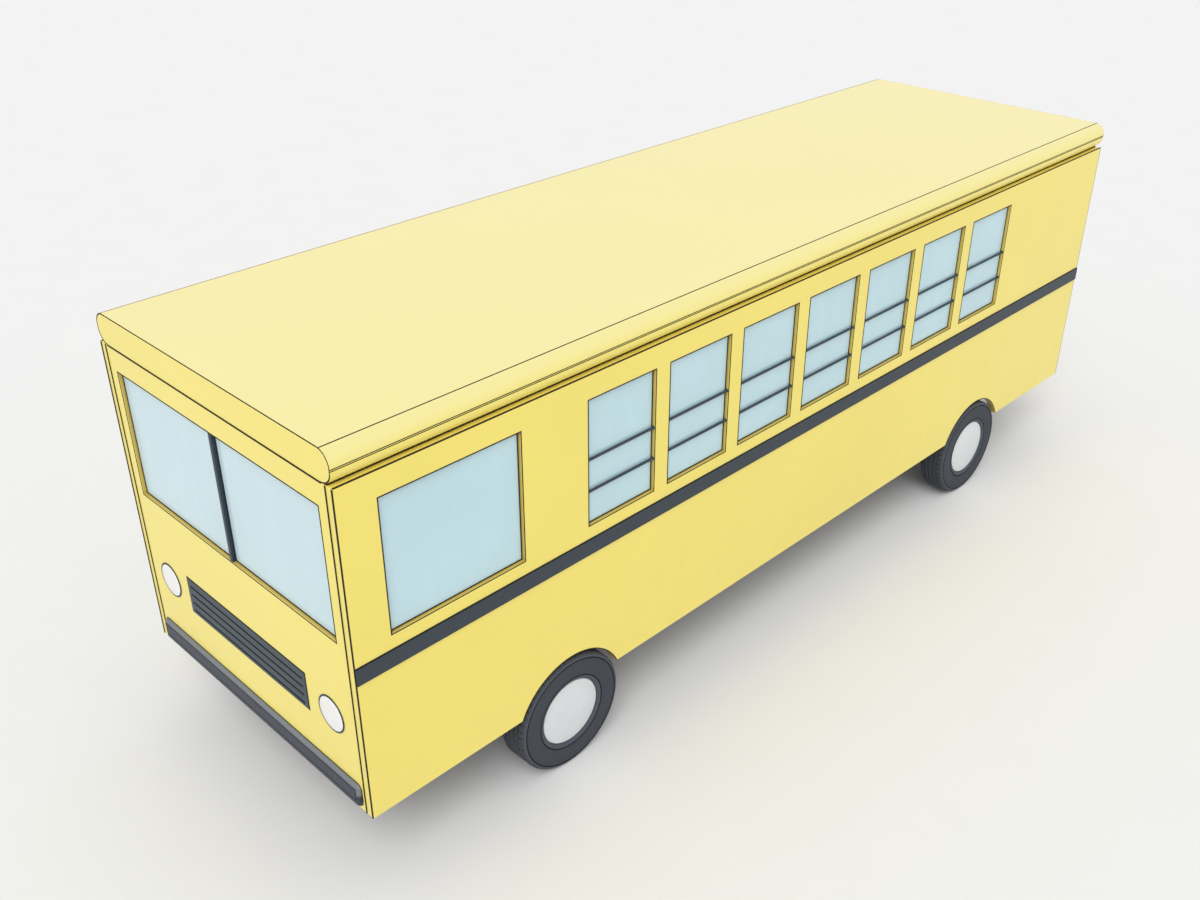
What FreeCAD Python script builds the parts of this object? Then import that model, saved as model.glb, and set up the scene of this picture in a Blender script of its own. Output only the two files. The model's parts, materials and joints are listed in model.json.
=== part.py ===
import FreeCAD, Part
import math
import os
import Sketcher

# A short flat-nosed school bus at full size, in millimetres.
# +Z is up, the bus faces -Y, +X is its left (driver's) side.
# The ground is Z 0 and the body's middle is X 0, Y 0.

os.makedirs("parts", exist_ok=True)
doc = FreeCAD.newDocument("short_school_bus")
sheet = doc.addObject("Spreadsheet::Sheet", "Dims")

DRIVING_DIMENSIONS = {
    # body shell
    "body_width": 2440,
    "body_length": 8144,
    "skirt_height": 627,
    "panel_height": 2232,
    "roof_thickness": 208,
    "wall": 62,
    "roof_edge_radius": 95,
    "ceiling_recess": 140,
    "floor_clearance": 39,
    "floor_thickness": 50,
    # fits
    "fit_gap": 0.3,
    "door_gap": 5,
    # windows: sill above the skirt's lower edge, header below the eaves
    "window_sill": 1202,
    "window_header": 162,
    "windscreen_margin": 91,
    "mullion_width": 30,
    "mullion_depth": 45,
    "driver_window_start": 256,
    "driver_window_width": 970,
    "window_start": 1756,
    "window_end": 1524,
    "window_post": 134,
    "window_count": 7,
    "glass_inset": 25,
    "glass_thickness": 6,
    "rear_window_gap": 110,
    "rear_window_margin": 138,
    # guard bars and rub rails
    "guard_bar_radius": 9,
    "guard_bar_inset": 11,
    "guard_bar_low_share": 0.274,
    "guard_bar_high_share": 0.53,
    "rail_below_sill": 103,
    "rail_height": 110,
    "rail_depth": 10,
    "rail_door_clear": 50,
    # front and rear faces
    "bumper_inset": 92,
    "bumper_bottom": 48,
    "bumper_height": 142,
    "bumper_depth": 27,
    "bumper_round": 26,
    "bumper_corner": 34,
    "lamp_inset": 307,
    "lamp_height": 605,
    "lamp_radius": 124,
    "lamp_depth": 5,
    "lens_radius": 114,
    "lens_front_radius": 108,
    "lens_depth": 3,
    "lamp_bucket_radius": 105,
    "grille_inset": 553,
    "grille_bottom": 483,
    "grille_height": 270,
    "grille_flange": 17,
    "grille_proud": 5,
    "grille_depth": 40,
    "slot_height": 16,
    "slot_pitch": 62,
    "slot_first": 20,
    "slot_margin": 15,
    # wheels and axles
    "front_overhang": 1584,
    "rear_overhang": 1574,
    "tyre_radius": 434,
    "tyre_width": 225,
    "tyre_shoulder": 27,
    "tyre_bead_radius": 275,
    "wheel_radius": 245,
    "wheel_recess": 11,
    "wheel_disc": 29,
    "rim_thickness": 14,
    "drum_radius": 190,
    "drum_depth": 110,
    "drum_wall": 14,
    "hub_radius": 62,
    "hub_setback": 20,
    "spindle_radius": 30,
    "spindle_clear": 2,
    "arch_gap": 31,
    "kingpin_inset": 235,
    "kingpin_radius": 20,
    "yoke_radius": 42,
    "yoke_lug": 35,
    "yoke_clear": 1,
    "axle_half_height": 55,
    "axle_half_width": 45,
    "axle_web": 18,
    "axle_flange": 18,
    "axle_pocket_end": 90,
    "backing_radius": 184,
    "backing_thickness": 6,
    "backing_clear": 14,
    "axle_tube_radius": 55,
    "diff_radius": 165,
    "diff_half_flat": 82,
    "diff_half_length": 264,
    "diff_half_depth": 80,
    "diff_cover_radius": 125,
    "diff_cover_depth": 120,
    "nose_radius": 67,
    "nose_length": 247,
    # frame and springs
    "rail_outer": 432,
    "rail_width": 80,
    "rail_web": 14,
    "rail_clear": 111,
    "bearer_height": 50,
    "bearer_width": 70,
    "bearer_clear": 150,
    "bearer_count": 5,
    "cross_member_drop": 128,
    "spring_half_length": 600,
    "spring_width": 75,
    "spring_thickness": 45,
    "spring_end_thickness": 16,
    "spring_rise": 75,
    "spring_gap": 22,
    "hanger_width": 60,
    "hanger_height": 130,
    # service door
    "door_start": 210,
    "door_width": 840,
    "door_thickness": 40,
    "door_frame": 65,
    "door_below_step": 11,
    "door_low_pane": 110,
    "door_mid_rail": 130,
    "hinge_radius": 4.5,
    "hinge_offset": 5.2,
    "hinge_length": 90,
    "hinge_plate": 42,
    "hinge_strap": 60,
    "hinge_clear": 1,
    "step_depth": 250,
    "step_height": 253,
    "step_sheet": 12,
    # emergency door
    "exit_half_width": 450,
    "exit_frame": 97,
    # benches
    "bench_count": 8,
    "aisle_half": 168,
    "bench_wall_gap": 10,
    "bench_first": 60,
    "bench_lip": 20,
    "bench_clear": 10,
    "bench_leg_front": 40,
    "bench_leg_inset": 60,
    "seat_height": 330,
    "seat_depth": 380,
    "cushion_thickness": 95,
    "cushion_gap": 4,
    "backrest_height": 610,
    "backrest_thickness": 60,
    "post_short": 60,
    "seat_tube": 32,
    # driver's seat
    "driver_seat_inset": 508,
    "driver_seat_y": 900,
    "driver_seat_width": 500,
    "driver_base_height": 390,
    "driver_base_inset": 90,
    "driver_base_front": 60,
    "driver_pad_depth": 440,
    "driver_pad_thickness": 110,
    "driver_back_low": 60,
    "driver_back_high": 720,
    "driver_back_thickness": 110,
    "driver_plate": 30,
    "driver_plate_height": 600,
    # power train
    "engine_start": 322,
    "engine_length": 950,
    "engine_bottom": 450,
    "engine_clear": 8,
    "engine_head_room": 32,
    "cover_wall": 28,
    "cover_margin": 20,
    "cover_below_sill": 469,
    "tank_start": 3400,
    "tank_length": 1100,
    "tank_margin": 125,
    "tank_bottom": 520,
    "tank_height": 320,
    "tank_round": 60,
    "shaft_radius": 42,
    "shaft_height": 560,
    "exhaust_side": 220,
    "exhaust_radius": 28,
    "silencer_radius": 85,
    "silencer_start": 3900,
    "silencer_length": 1200,
    "tail_drop_start": 800,
    "tail_drop_end": 400,
    "tail_below_skirt": 70,
    "tail_setback": 20,
    # driving place
    "wheel_rim_radius": 225,
    "wheel_rim_tube": 14,
    "wheel_spoke_half": 15,
    "wheel_spoke_thickness": 12,
    "column_radius": 32,
    "column_length": 790,
    "column_foot": 13,
    "column_tilt": 23,
    "column_start": 290,
    "horn_radius": 58,
    "horn_thickness": 34,
    "dash_inner": 620,
    "dash_bottom": 193,
    "dash_top": 40,
    "dash_crest_depth": 230,
    "dash_crest_drop": 90,
    "dash_nose_depth": 310,
    "dash_nose_drop": 230,
    "dash_leg_depth": 190,
    "dash_leg_drop": 350,
}

# How many flat sides stand for a circle where no pin or hinge turns in it.
TYRE_SIDES = 28
DRUM_SIDES = 16
LAMP_SIDES = 20
TUBE_SIDES = 12
BAR_SIDES = 6
# How many flat steps make a quarter of a bumper's rounding.
ROUND_STEPS = 3


class Dim:
    """A length that carries the spreadsheet expression it comes from."""

    def __init__(self, value, text):
        self.value = float(value)
        self.text = text

    def join(self, other, sign, value):
        return Dim(value, "(" + self.text + sign + as_dim(other).text + ")")

    def __add__(self, other):
        return self.join(other, " + ", self.value + as_dim(other).value)

    def __sub__(self, other):
        return self.join(other, " - ", self.value - as_dim(other).value)

    def __mul__(self, other):
        return self.join(other, " * ", self.value * as_dim(other).value)

    def __truediv__(self, other):
        return self.join(other, " / ", self.value / as_dim(other).value)

    def __radd__(self, other):
        return as_dim(other) + self

    def __rsub__(self, other):
        return as_dim(other) - self

    def __rmul__(self, other):
        return as_dim(other) * self

    def __neg__(self):
        return as_dim(0) - self


def as_dim(number):
    if isinstance(number, Dim):
        return number
    return Dim(number, str(number))


D = {}
for row, (alias, number) in enumerate(DRIVING_DIMENSIONS.items(), start=1):
    sheet.set("A%d" % row, alias.replace("_", " "))
    sheet.set("B%d" % row, str(number))
    sheet.setAlias("B%d" % row, alias)
    D[alias] = Dim(number, "Dims." + alias)
doc.recompute()

# Working values, each an expression on the driving dimensions.
half_width = D["body_width"] / 2
half_length = D["body_length"] / 2
core_half = half_width - D["wall"]
front_face = -half_length
rear_face = half_length
skirt = D["skirt_height"]
eaves = skirt + D["panel_height"]
sill = skirt + D["window_sill"]
head = eaves - D["window_header"]
window_pitch = (D["body_length"] - D["window_start"] - D["window_end"] + D["window_post"]) / D["window_count"]
window_width = window_pitch - D["window_post"]
floor_bottom = D["tyre_radius"] * 2 + D["floor_clearance"]
floor_top = floor_bottom + D["floor_thickness"]
gap = D["fit_gap"]
front_axle_y = front_face + D["front_overhang"]
rear_axle_y = rear_face - D["rear_overhang"]
hub_height = D["tyre_radius"]
arch_radius = D["tyre_radius"] + D["arch_gap"]
inner_front = front_face + D["wall"]
inner_rear = rear_face - D["wall"]

finished = []


def origin_feature(body, role):
    """The body's own origin plane or axis, such as XY_Plane or X_Axis."""
    for feature in body.Origin.OriginFeatures:
        if feature.Role == role:
            return feature
    raise RuntimeError("no " + role + " in " + body.Label)


def set_size(feature, name, value):
    """Gives a property its value and the expression that the value comes from."""
    setattr(feature, name, as_dim(value).value)
    feature.setExpression(name, as_dim(value).text)


def settle(part, label, place=(0, 0, 0), axis=(0, 0, 1), turn=0):
    """Names a finished sub-part, places it at (x, y, z) and turns it by `turn` degrees about `axis`."""
    part.Label = label
    turn = as_dim(turn)
    spot = FreeCAD.Vector(*[as_dim(value).value for value in place])
    part.Placement = FreeCAD.Placement(spot, FreeCAD.Rotation(FreeCAD.Vector(*axis), turn.value))
    for name, value in zip("xyz", place):
        part.setExpression("Placement.Base." + name, as_dim(value).text)
    if turn.value:
        part.setExpression("Placement.Rotation.Angle", turn.text)
    finished.append(part)
    return part


def make_body(label, place=(0, 0, 0), axis=(0, 0, 1), turn=0):
    """A PartDesign body, placed and turned."""
    body = doc.addObject("PartDesign::Body", label)
    body.AllowCompound = True
    return settle(body, label, place, axis, turn)


def hold_points(sketch, held):
    """Holds each (geometry, point, u, v) at its distances from the origin, by expression."""
    rules = []
    texts = []
    for geometry, point, u, v in held:
        for kind, value in (("DistanceX", as_dim(u)), ("DistanceY", as_dim(v))):
            rules.append(Sketcher.Constraint(kind, -1, 1, geometry, point, value.value))
            texts.append(value.text)
    for number, text in zip(sketch.addConstraint(rules), texts):
        sketch.setExpression("Constraints[%d]" % number, text)


def add_outline(sketch, points):
    """A closed outline of straight lines through the points, each held from the origin."""
    first = sketch.GeometryCount
    count = len(points)
    spots = [FreeCAD.Vector(as_dim(u).value, as_dim(v).value, 0) for u, v in points]
    lines = [Part.LineSegment(spots[index], spots[(index + 1) % count]) for index in range(count)]
    sketch.addGeometry(lines, False)
    joins = []
    for index in range(count):
        following = first + (index + 1) % count
        joins.append(Sketcher.Constraint("Coincident", first + index, 2, following, 1))
    sketch.addConstraint(joins)
    hold_points(sketch, [(first + index, 1, u, v) for index, (u, v) in enumerate(points)])


def add_circle(sketch, u, v, radius):
    centre = FreeCAD.Vector(as_dim(u).value, as_dim(v).value, 0)
    up = FreeCAD.Vector(0, 0, 1)
    number = sketch.addGeometry(Part.Circle(centre, up, as_dim(radius).value), False)
    hold_points(sketch, [(number, 3, u, v)])
    rule = sketch.addConstraint(Sketcher.Constraint("Radius", number, as_dim(radius).value))
    sketch.setExpression("Constraints[%d]" % rule, as_dim(radius).text)


def rectangle(u0, v0, u1, v1):
    return [(u0, v0), (u1, v0), (u1, v1), (u0, v1)]


def ring(u, v, radius, sides):
    """Flat sides round a circle, one of them at its lowest point."""
    reach = 1 / math.cos(math.pi / sides)
    points = []
    for index in range(sides):
        angle = math.pi * (2 * index + 1) / sides - math.pi / 2
        right = round(reach * math.cos(angle), 8)
        up = round(reach * math.sin(angle), 8)
        points.append((u + radius * right, v + radius * up))
    return points


def draw(body, plane, shift, outlines=(), circles=()):
    """A sketch on the body's own origin plane, moved along that plane's axis to `shift`."""
    sketch = body.newObject("Sketcher::SketchObject", body.Label + "_sketch")
    sketch.AttachmentSupport = (origin_feature(body, plane + "_Plane"), [""])
    sketch.MapMode = "FlatFace"
    shift = as_dim(shift)
    if plane == "XZ":
        shift = -shift
    sketch.AttachmentOffset = FreeCAD.Placement(FreeCAD.Vector(0, 0, shift.value), FreeCAD.Rotation())
    sketch.setExpression("AttachmentOffset.Base.z", shift.text)
    for outline in outlines:
        add_outline(sketch, outline)
    for u, v, radius in circles:
        add_circle(sketch, u, v, radius)
    return sketch


def pad(body, plane, shift, length, outlines=(), circles=()):
    """Material from the plane at `shift` towards the positive axis."""
    sketch = draw(body, plane, shift, outlines, circles)
    feature = body.newObject("PartDesign::Pad", body.Label + "_pad")
    feature.Profile = sketch
    set_size(feature, "Length", length)
    feature.Reversed = plane == "XZ"
    body.Tip = feature
    return feature


def pocket(body, plane, shift, length, outlines=(), circles=()):
    """A cut from the plane at `shift` towards the positive axis; it must take material."""
    doc.recompute()
    before = body.Shape.Volume
    sketch = draw(body, plane, shift, outlines, circles)
    feature = body.newObject("PartDesign::Pocket", body.Label + "_pocket")
    feature.Profile = sketch
    set_size(feature, "Length", length)
    feature.Reversed = plane != "XZ"
    body.Tip = feature
    doc.recompute()
    if not body.Shape.Volume < before - 1:
        raise RuntimeError("cut takes nothing in " + body.Label)
    return feature


def prism(body, plane, shift, length, radius, sides, u=0, v=0, cut=False):
    """The same round as a bar, or a bore, from the plane at `shift`; sides are a multiple of four."""
    kind = "PartDesign::SubtractivePrism" if cut else "PartDesign::AdditivePrism"
    feature = body.newObject(kind, body.Label + "_prism")
    feature.AttachmentSupport = (origin_feature(body, plane + "_Plane"), [""])
    feature.MapMode = "FlatFace"
    feature.Polygon = sides
    set_size(feature, "Circumradius", radius / math.cos(math.pi / sides))
    set_size(feature, "Height", length)
    start = -(as_dim(shift) + length) if plane == "XZ" else as_dim(shift)
    turn = FreeCAD.Rotation(FreeCAD.Vector(0, 0, 1), 180 / sides)
    feature.AttachmentOffset = FreeCAD.Placement(FreeCAD.Vector(0, 0, 0), turn)
    for name, value in zip("xyz", (u, v, start)):
        feature.setExpression("AttachmentOffset.Base." + name, as_dim(value).text)
    body.Tip = feature
    return feature


def loft(body, plane, sections, cut=False):
    """Material, or a cut, with straight sides through (shift, outline) sections."""
    sketches = [draw(body, plane, shift, [outline]) for shift, outline in sections]
    kind = "PartDesign::SubtractiveLoft" if cut else "PartDesign::AdditiveLoft"
    feature = body.newObject(kind, body.Label + "_loft")
    feature.Profile = sketches[0]
    feature.Sections = sketches[1:]
    feature.Ruled = True
    body.Tip = feature
    return feature


def repeat(body, features, axis, pitch, count):
    """A linear pattern of the features along +axis."""
    count = as_dim(count)
    feature = body.newObject("PartDesign::LinearPattern", body.Label + "_row")
    feature.Originals = features
    feature.Direction = (origin_feature(body, axis + "_Axis"), [""])
    set_size(feature, "Length", as_dim(pitch) * (count - 1))
    feature.Occurrences = int(count.value)
    feature.setExpression("Occurrences", count.text)
    body.Tip = feature
    return feature


def round_edges(body, radius, wanted):
    """A fillet on the tip's edges for which wanted(edge) is true."""
    doc.recompute()
    base = body.Tip
    names = []
    for number, edge in enumerate(base.Shape.Edges, start=1):
        if wanted(edge):
            names.append("Edge%d" % number)
    if not names:
        raise RuntimeError("no edge to round in " + body.Label)
    feature = body.newObject("PartDesign::Fillet", body.Label + "_round")
    feature.Base = (base, names)
    set_size(feature, "Radius", radius)
    body.Tip = feature
    return feature


def runs_along(edge, axis):
    """True for a straight edge parallel to the axis 0, 1 or 2."""
    if edge.Curve.TypeId != "Part::GeomLine":
        return False
    direction = edge.Curve.Direction
    return abs(abs(direction[axis]) - 1) < 1e-6


# Side panels: one thick wall each, flush with the front and rear faces.

def window_row(body, side_x):
    """The passenger windows of one side, cut through the wall."""
    start = front_face + D["window_start"]
    opening = rectangle(start, sill, start + window_width, head)
    first = pocket(body, "YZ", side_x, D["wall"], [opening])
    return repeat(body, [first], "Y", window_pitch, D["window_count"])


def side_panel(label, side_x):
    body = make_body(label)
    pad(body, "YZ", side_x, D["wall"], [rectangle(front_face, skirt, rear_face, eaves)])
    arches = [(front_axle_y, hub_height, arch_radius), (rear_axle_y, hub_height, arch_radius)]
    pocket(body, "YZ", side_x, D["wall"], circles=arches)
    window_row(body, side_x)
    return body


driver_window_y0 = front_face + D["driver_window_start"]
driver_window_y1 = driver_window_y0 + D["driver_window_width"]
side_left = side_panel("side_panel_left", core_half)
driver_opening = rectangle(driver_window_y0, sill, driver_window_y1, head)
pocket(side_left, "YZ", core_half, D["wall"], [driver_opening])

door_y0 = front_face + D["door_start"]
door_y1 = door_y0 + D["door_width"]
side_right = side_panel("side_panel_right", -half_width)
door_opening = rectangle(door_y0, skirt - D["wall"], door_y1, head)
pocket(side_right, "YZ", -half_width, D["wall"], [door_opening])

# Steps behind the service door set how low its leaves reach.
tread_2 = floor_top - D["step_height"]
tread_1 = tread_2 - D["step_height"]
door_bottom = tread_1 - D["door_below_step"]

# Hinge line of each service door leaf, just outside the panel.
hinge_x = -half_width - D["hinge_offset"]
hinge_front_y = door_y0 + D["door_gap"] / 2
hinge_rear_y = door_y1 - D["door_gap"] / 2
hinge_low = skirt + D["hinge_length"]
hinge_high = head - D["hinge_length"] * 3
hinge_step = hinge_high - hinge_low


def fixed_hinges(body, plate_outline, centre, low, step):
    """Plates and barrels that stay on the wall, above and below each barrel of the door."""
    made = []
    barrel = ring(centre[0], centre[1], D["hinge_radius"], BAR_SIDES)
    for start in (low - D["hinge_length"] - gap, low + D["hinge_length"] + gap):
        made.append(pad(body, "XY", start, D["hinge_length"], [plate_outline]))
        made.append(pad(body, "XY", start, D["hinge_length"], [barrel]))
    repeat(body, made, "Z", step, 2)


plate_x = -half_width - D["hinge_offset"] + D["hinge_clear"]
for hinge_y, plate_end in ((hinge_front_y, hinge_front_y - D["hinge_plate"]),
                           (hinge_rear_y, hinge_rear_y + D["hinge_plate"])):
    plate = rectangle(plate_x, plate_end, -half_width, hinge_y)
    fixed_hinges(side_right, plate, (hinge_x, hinge_y), hinge_low, hinge_step)

# Front and rear panels stand between the side panels.

lamp_x = half_width - D["lamp_inset"]
lamp_z = skirt + D["lamp_height"]


def lamp_holes():
    """Where a lamp's bucket passes through the wall on each side."""
    return [ring(side * lamp_x, lamp_z, D["lamp_bucket_radius"] + gap, LAMP_SIDES) for side in (-1, 1)]


front_panel = make_body("front_panel")
pad(front_panel, "XZ", front_face, D["wall"], [rectangle(-core_half, skirt, core_half, eaves)])
windscreen_half = core_half - D["windscreen_margin"]
grille_x = half_width - D["grille_inset"]
grille_z0 = skirt + D["grille_bottom"]
grille_z1 = grille_z0 + D["grille_height"]
grille_core_x = grille_x - D["grille_flange"]
grille_core_z0 = grille_z0 + D["grille_flange"]
grille_core_z1 = grille_z1 - D["grille_flange"]
pocket(front_panel, "XZ", front_face, D["wall"],
       [rectangle(-windscreen_half, sill, windscreen_half, head),
        rectangle(-grille_core_x - gap, grille_core_z0 - gap, grille_core_x + gap, grille_core_z1 + gap)]
       + lamp_holes())

exit_x = D["exit_half_width"]
exit_bottom = floor_top
rear_window_x0 = exit_x + D["rear_window_gap"]
rear_window_x1 = core_half - D["rear_window_margin"]
rear_panel = make_body("rear_panel")
pad(rear_panel, "XZ", inner_rear, D["wall"], [rectangle(-core_half, skirt, core_half, eaves)])
pocket(rear_panel, "XZ", inner_rear, D["wall"],
       [rectangle(-exit_x, exit_bottom, exit_x, head),
        rectangle(rear_window_x0, sill, rear_window_x1, head),
        rectangle(-rear_window_x1, sill, -rear_window_x0, head)] + lamp_holes())

# Hinge line of the emergency door, on the bus's right.
exit_hinge_x = -exit_x + D["door_gap"] / 2
exit_hinge_y = rear_face + D["hinge_offset"]
exit_hinge_low = exit_bottom + D["hinge_length"] * 2
exit_hinge_high = head - D["hinge_length"] * 3
exit_hinge_step = exit_hinge_high - exit_hinge_low
exit_plate = rectangle(exit_hinge_x - D["hinge_plate"], rear_face,
                       exit_hinge_x, exit_hinge_y - D["hinge_clear"])
fixed_hinges(rear_panel, exit_plate, (exit_hinge_x, exit_hinge_y), exit_hinge_low, exit_hinge_step)

# Roof: one slab with round long edges and a recessed ceiling.

roof = make_body("roof")
pad(roof, "XZ", front_face, D["body_length"],
    [rectangle(-half_width, eaves, half_width, eaves + D["roof_thickness"])])
round_edges(roof, D["roof_edge_radius"], lambda edge: runs_along(edge, 1))
ceiling_half = core_half - D["wall"]
pocket(roof, "XY", eaves, D["ceiling_recess"],
       [rectangle(-ceiling_half, inner_front, ceiling_half, inner_rear)])

# Floor, with openings for the steps and the engine.

step_x = -core_half + D["step_depth"] * 2 + D["step_sheet"]
engine_y0 = front_face + D["engine_start"]
engine_y1 = engine_y0 + D["engine_length"]
rail_x0 = D["rail_outer"] - D["rail_width"]
engine_half = rail_x0 - gap
engine_hole = engine_half + D["engine_clear"]
floor = make_body("floor_deck")
pad(floor, "XY", floor_bottom, D["floor_thickness"],
    [rectangle(-core_half, inner_front, core_half, inner_rear)])
pocket(floor, "XY", floor_bottom, D["floor_thickness"],
       [rectangle(-core_half, door_y0 - D["step_sheet"], step_x, door_y1 + D["step_sheet"]),
        rectangle(-engine_hole, engine_y0 - D["engine_clear"], engine_hole, engine_y1 + D["engine_clear"])])

# Frame rails: two channels that open inwards, from the front panel to the rear one.

rail_z0 = hub_height + D["axle_half_height"] + D["rail_clear"]
rail_z1 = floor_bottom - D["bearer_height"]
web = D["rail_web"]
rails = make_body("frame_rails")
channel = [
    (rail_x0, rail_z0), (D["rail_outer"], rail_z0), (D["rail_outer"], rail_z1), (rail_x0, rail_z1),
    (rail_x0, rail_z1 - web), (D["rail_outer"] - web, rail_z1 - web),
    (D["rail_outer"] - web, rail_z0 + web), (rail_x0, rail_z0 + web),
]
pad(rails, "XZ", inner_front + gap, D["body_length"] - D["wall"] * 2 - gap * 2,
    [channel, [(-x, z) for x, z in channel]])

# Floor bearers lie on the rails, and each has a cross member between them.

bearers = make_body("floor_bearers")
bearer_end = core_half - gap
cross_end = rail_x0 - gap
cross_z0 = rail_z1 - D["cross_member_drop"]
bearer_outline = [
    (-bearer_end, rail_z1), (-cross_end, rail_z1), (-cross_end, cross_z0), (cross_end, cross_z0),
    (cross_end, rail_z1), (bearer_end, rail_z1), (bearer_end, floor_bottom), (-bearer_end, floor_bottom),
]
wheel_clear = D["tyre_radius"] + D["bearer_clear"]
first_bearer = front_axle_y + wheel_clear
last_bearer = rear_axle_y - wheel_clear - D["bearer_width"]
bearer = pad(bearers, "XZ", first_bearer, D["bearer_width"], [bearer_outline])
repeat(bearers, [bearer], "Y", (last_bearer - first_bearer) / (D["bearer_count"] - 1), D["bearer_count"])
for bearer_y in (rear_axle_y + wheel_clear, inner_rear - D["bearer_width"] * 2):
    pad(bearers, "XZ", bearer_y, D["bearer_width"], [bearer_outline])

# Leaf springs: a curved pack that thins to its ends, and a hanger at each end on the rail's side.

spring_x0 = D["rail_outer"] + D["spring_gap"]
spring_x1 = spring_x0 + D["spring_width"]
spring_seat = hub_height + D["axle_half_height"] + gap
spring_eye_z = spring_seat + D["spring_rise"]
hanger_x0 = D["rail_outer"] + gap


def leaf_outline(axle_y, steps=4):
    lower = []
    upper = []
    for index in range(-steps, steps + 1):
        share = abs(index) / steps
        y = axle_y + D["spring_half_length"] * (index / steps)
        z = spring_seat + D["spring_rise"] * (share * share)
        depth = D["spring_thickness"] - (D["spring_thickness"] - D["spring_end_thickness"]) * share
        lower.append((y, z))
        upper.append((y, z + depth))
    return lower + upper[::-1]


springs = make_body("leaf_springs")
for axle_y in (front_axle_y, rear_axle_y):
    for side in (-1, 1):
        leaf_x = spring_x0 if side > 0 else -spring_x1
        hanger_x = hanger_x0 if side > 0 else -spring_x1
        pad(springs, "YZ", leaf_x, D["spring_width"], [leaf_outline(axle_y)])
        low = axle_y - D["spring_half_length"]
        high = axle_y + D["spring_half_length"]
        hanger_z1 = spring_eye_z + D["hanger_height"]
        pad(springs, "YZ", hanger_x, spring_x1 - hanger_x0,
            [rectangle(low, spring_eye_z, low + D["hanger_width"], hanger_z1),
             rectangle(high - D["hanger_width"], spring_eye_z, high, hanger_z1)])

# Bumpers: a bar with round corners, rounded again towards its face.

def rounded_outline(half, low, high, corner, inset):
    """A rectangle with round corners, drawn in on every side by `inset`."""
    points = []
    radius = corner - inset
    for right, up, start in ((1, 1, 0), (-1, 1, 90), (-1, -1, 180), (1, -1, 270)):
        centre_x = right * (half - corner)
        centre_z = high - corner if up > 0 else low + corner
        for step in range(ROUND_STEPS + 1):
            angle = math.radians(start + 90 * step / ROUND_STEPS)
            across = round(math.cos(angle), 8)
            above = round(math.sin(angle), 8)
            points.append((centre_x + radius * across, centre_z + radius * above))
    return points


def bumper(label, back_y, outward):
    body = make_body(label)
    low = skirt + D["bumper_bottom"]
    high = low + D["bumper_height"]
    half = half_width - D["bumper_inset"]
    sections = [(back_y, rounded_outline(half, low, high, D["bumper_corner"], 0))]
    for step in range(1, ROUND_STEPS + 1):
        angle = math.radians(90 * step / ROUND_STEPS)
        inset = D["bumper_round"] * round(1 - math.cos(angle), 8)
        depth = D["bumper_depth"] - D["bumper_round"] * round(1 - math.sin(angle), 8)
        outline = rounded_outline(half, low, high, D["bumper_corner"], inset)
        sections.append((back_y + outward * depth, outline))
    loft(body, "XZ", sections)


bumper("front_bumper", front_face, -1)
bumper("rear_bumper", rear_face, 1)

# Rub rails: a full-length strip on the left, broken at the service door on the right.

rub_rails = make_body("rub_rails")
rub_z1 = sill - D["rail_below_sill"]
rub_z0 = rub_z1 - D["rail_height"]
pad(rub_rails, "YZ", half_width, D["rail_depth"], [rectangle(front_face, rub_z0, rear_face, rub_z1)])
pad(rub_rails, "YZ", -half_width - D["rail_depth"], D["rail_depth"],
    [rectangle(front_face, rub_z0, door_y0 - D["rail_door_clear"], rub_z1),
     rectangle(door_y1 + D["rail_door_clear"], rub_z0, rear_face, rub_z1)])

# Grille with four long slots.

grille = make_body("grille")
pad(grille, "XZ", front_face - D["grille_proud"], D["grille_proud"],
    [rectangle(-grille_x, grille_z0, grille_x, grille_z1)])
pad(grille, "XZ", front_face, D["grille_depth"],
    [rectangle(-grille_core_x, grille_core_z0, grille_core_x, grille_core_z1)])
slot_x = grille_core_x - D["slot_margin"]
slot_z0 = grille_z0 + D["slot_first"]
slot = pocket(grille, "XZ", front_face - D["grille_proud"], D["grille_proud"] + D["grille_depth"],
              [rectangle(-slot_x, slot_z0, slot_x, slot_z0 + D["slot_height"])])
repeat(grille, [slot], "Z", D["slot_pitch"], 4)

# Lamps: a flat rim, a lens that stands proud of it and a bucket in the wall.

def lamp_pair(label, face_y, outward):
    body = make_body(label)
    rim_y = face_y + outward * D["lamp_depth"]
    lens_y = rim_y + outward * D["lens_depth"]
    for side in (-1, 1):
        centre_x = side * lamp_x
        rim_start = rim_y if outward < 0 else face_y
        bucket_start = face_y if outward < 0 else face_y - D["wall"]
        prism(body, "XZ", rim_start, D["lamp_depth"], D["lamp_radius"], LAMP_SIDES, centre_x, lamp_z)
        prism(body, "XZ", bucket_start, D["wall"], D["lamp_bucket_radius"], LAMP_SIDES, centre_x, lamp_z)
        loft(body, "XZ", [(rim_y, ring(centre_x, lamp_z, D["lens_radius"], LAMP_SIDES)),
                          (lens_y, ring(centre_x, lamp_z, D["lens_front_radius"], LAMP_SIDES))])
    return body


lamp_pair("headlamps", front_face, -1)
lamp_pair("tail_lamps", rear_face, 1)

# Windscreen: two panes on either side of a slim post.

mullion_half = D["mullion_width"] / 2
mullion = make_body("windscreen_mullion")
pad(mullion, "XZ", front_face, D["mullion_depth"],
    [rectangle(-mullion_half, sill + gap, mullion_half, head - gap)])

windscreen = make_body("windscreen_glass")
pad(windscreen, "XZ", front_face + D["glass_inset"], D["glass_thickness"],
    [rectangle(mullion_half + gap, sill + gap, windscreen_half - gap, head - gap),
     rectangle(-windscreen_half + gap, sill + gap, -mullion_half - gap, head - gap)])

# Side and rear window glass.

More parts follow.
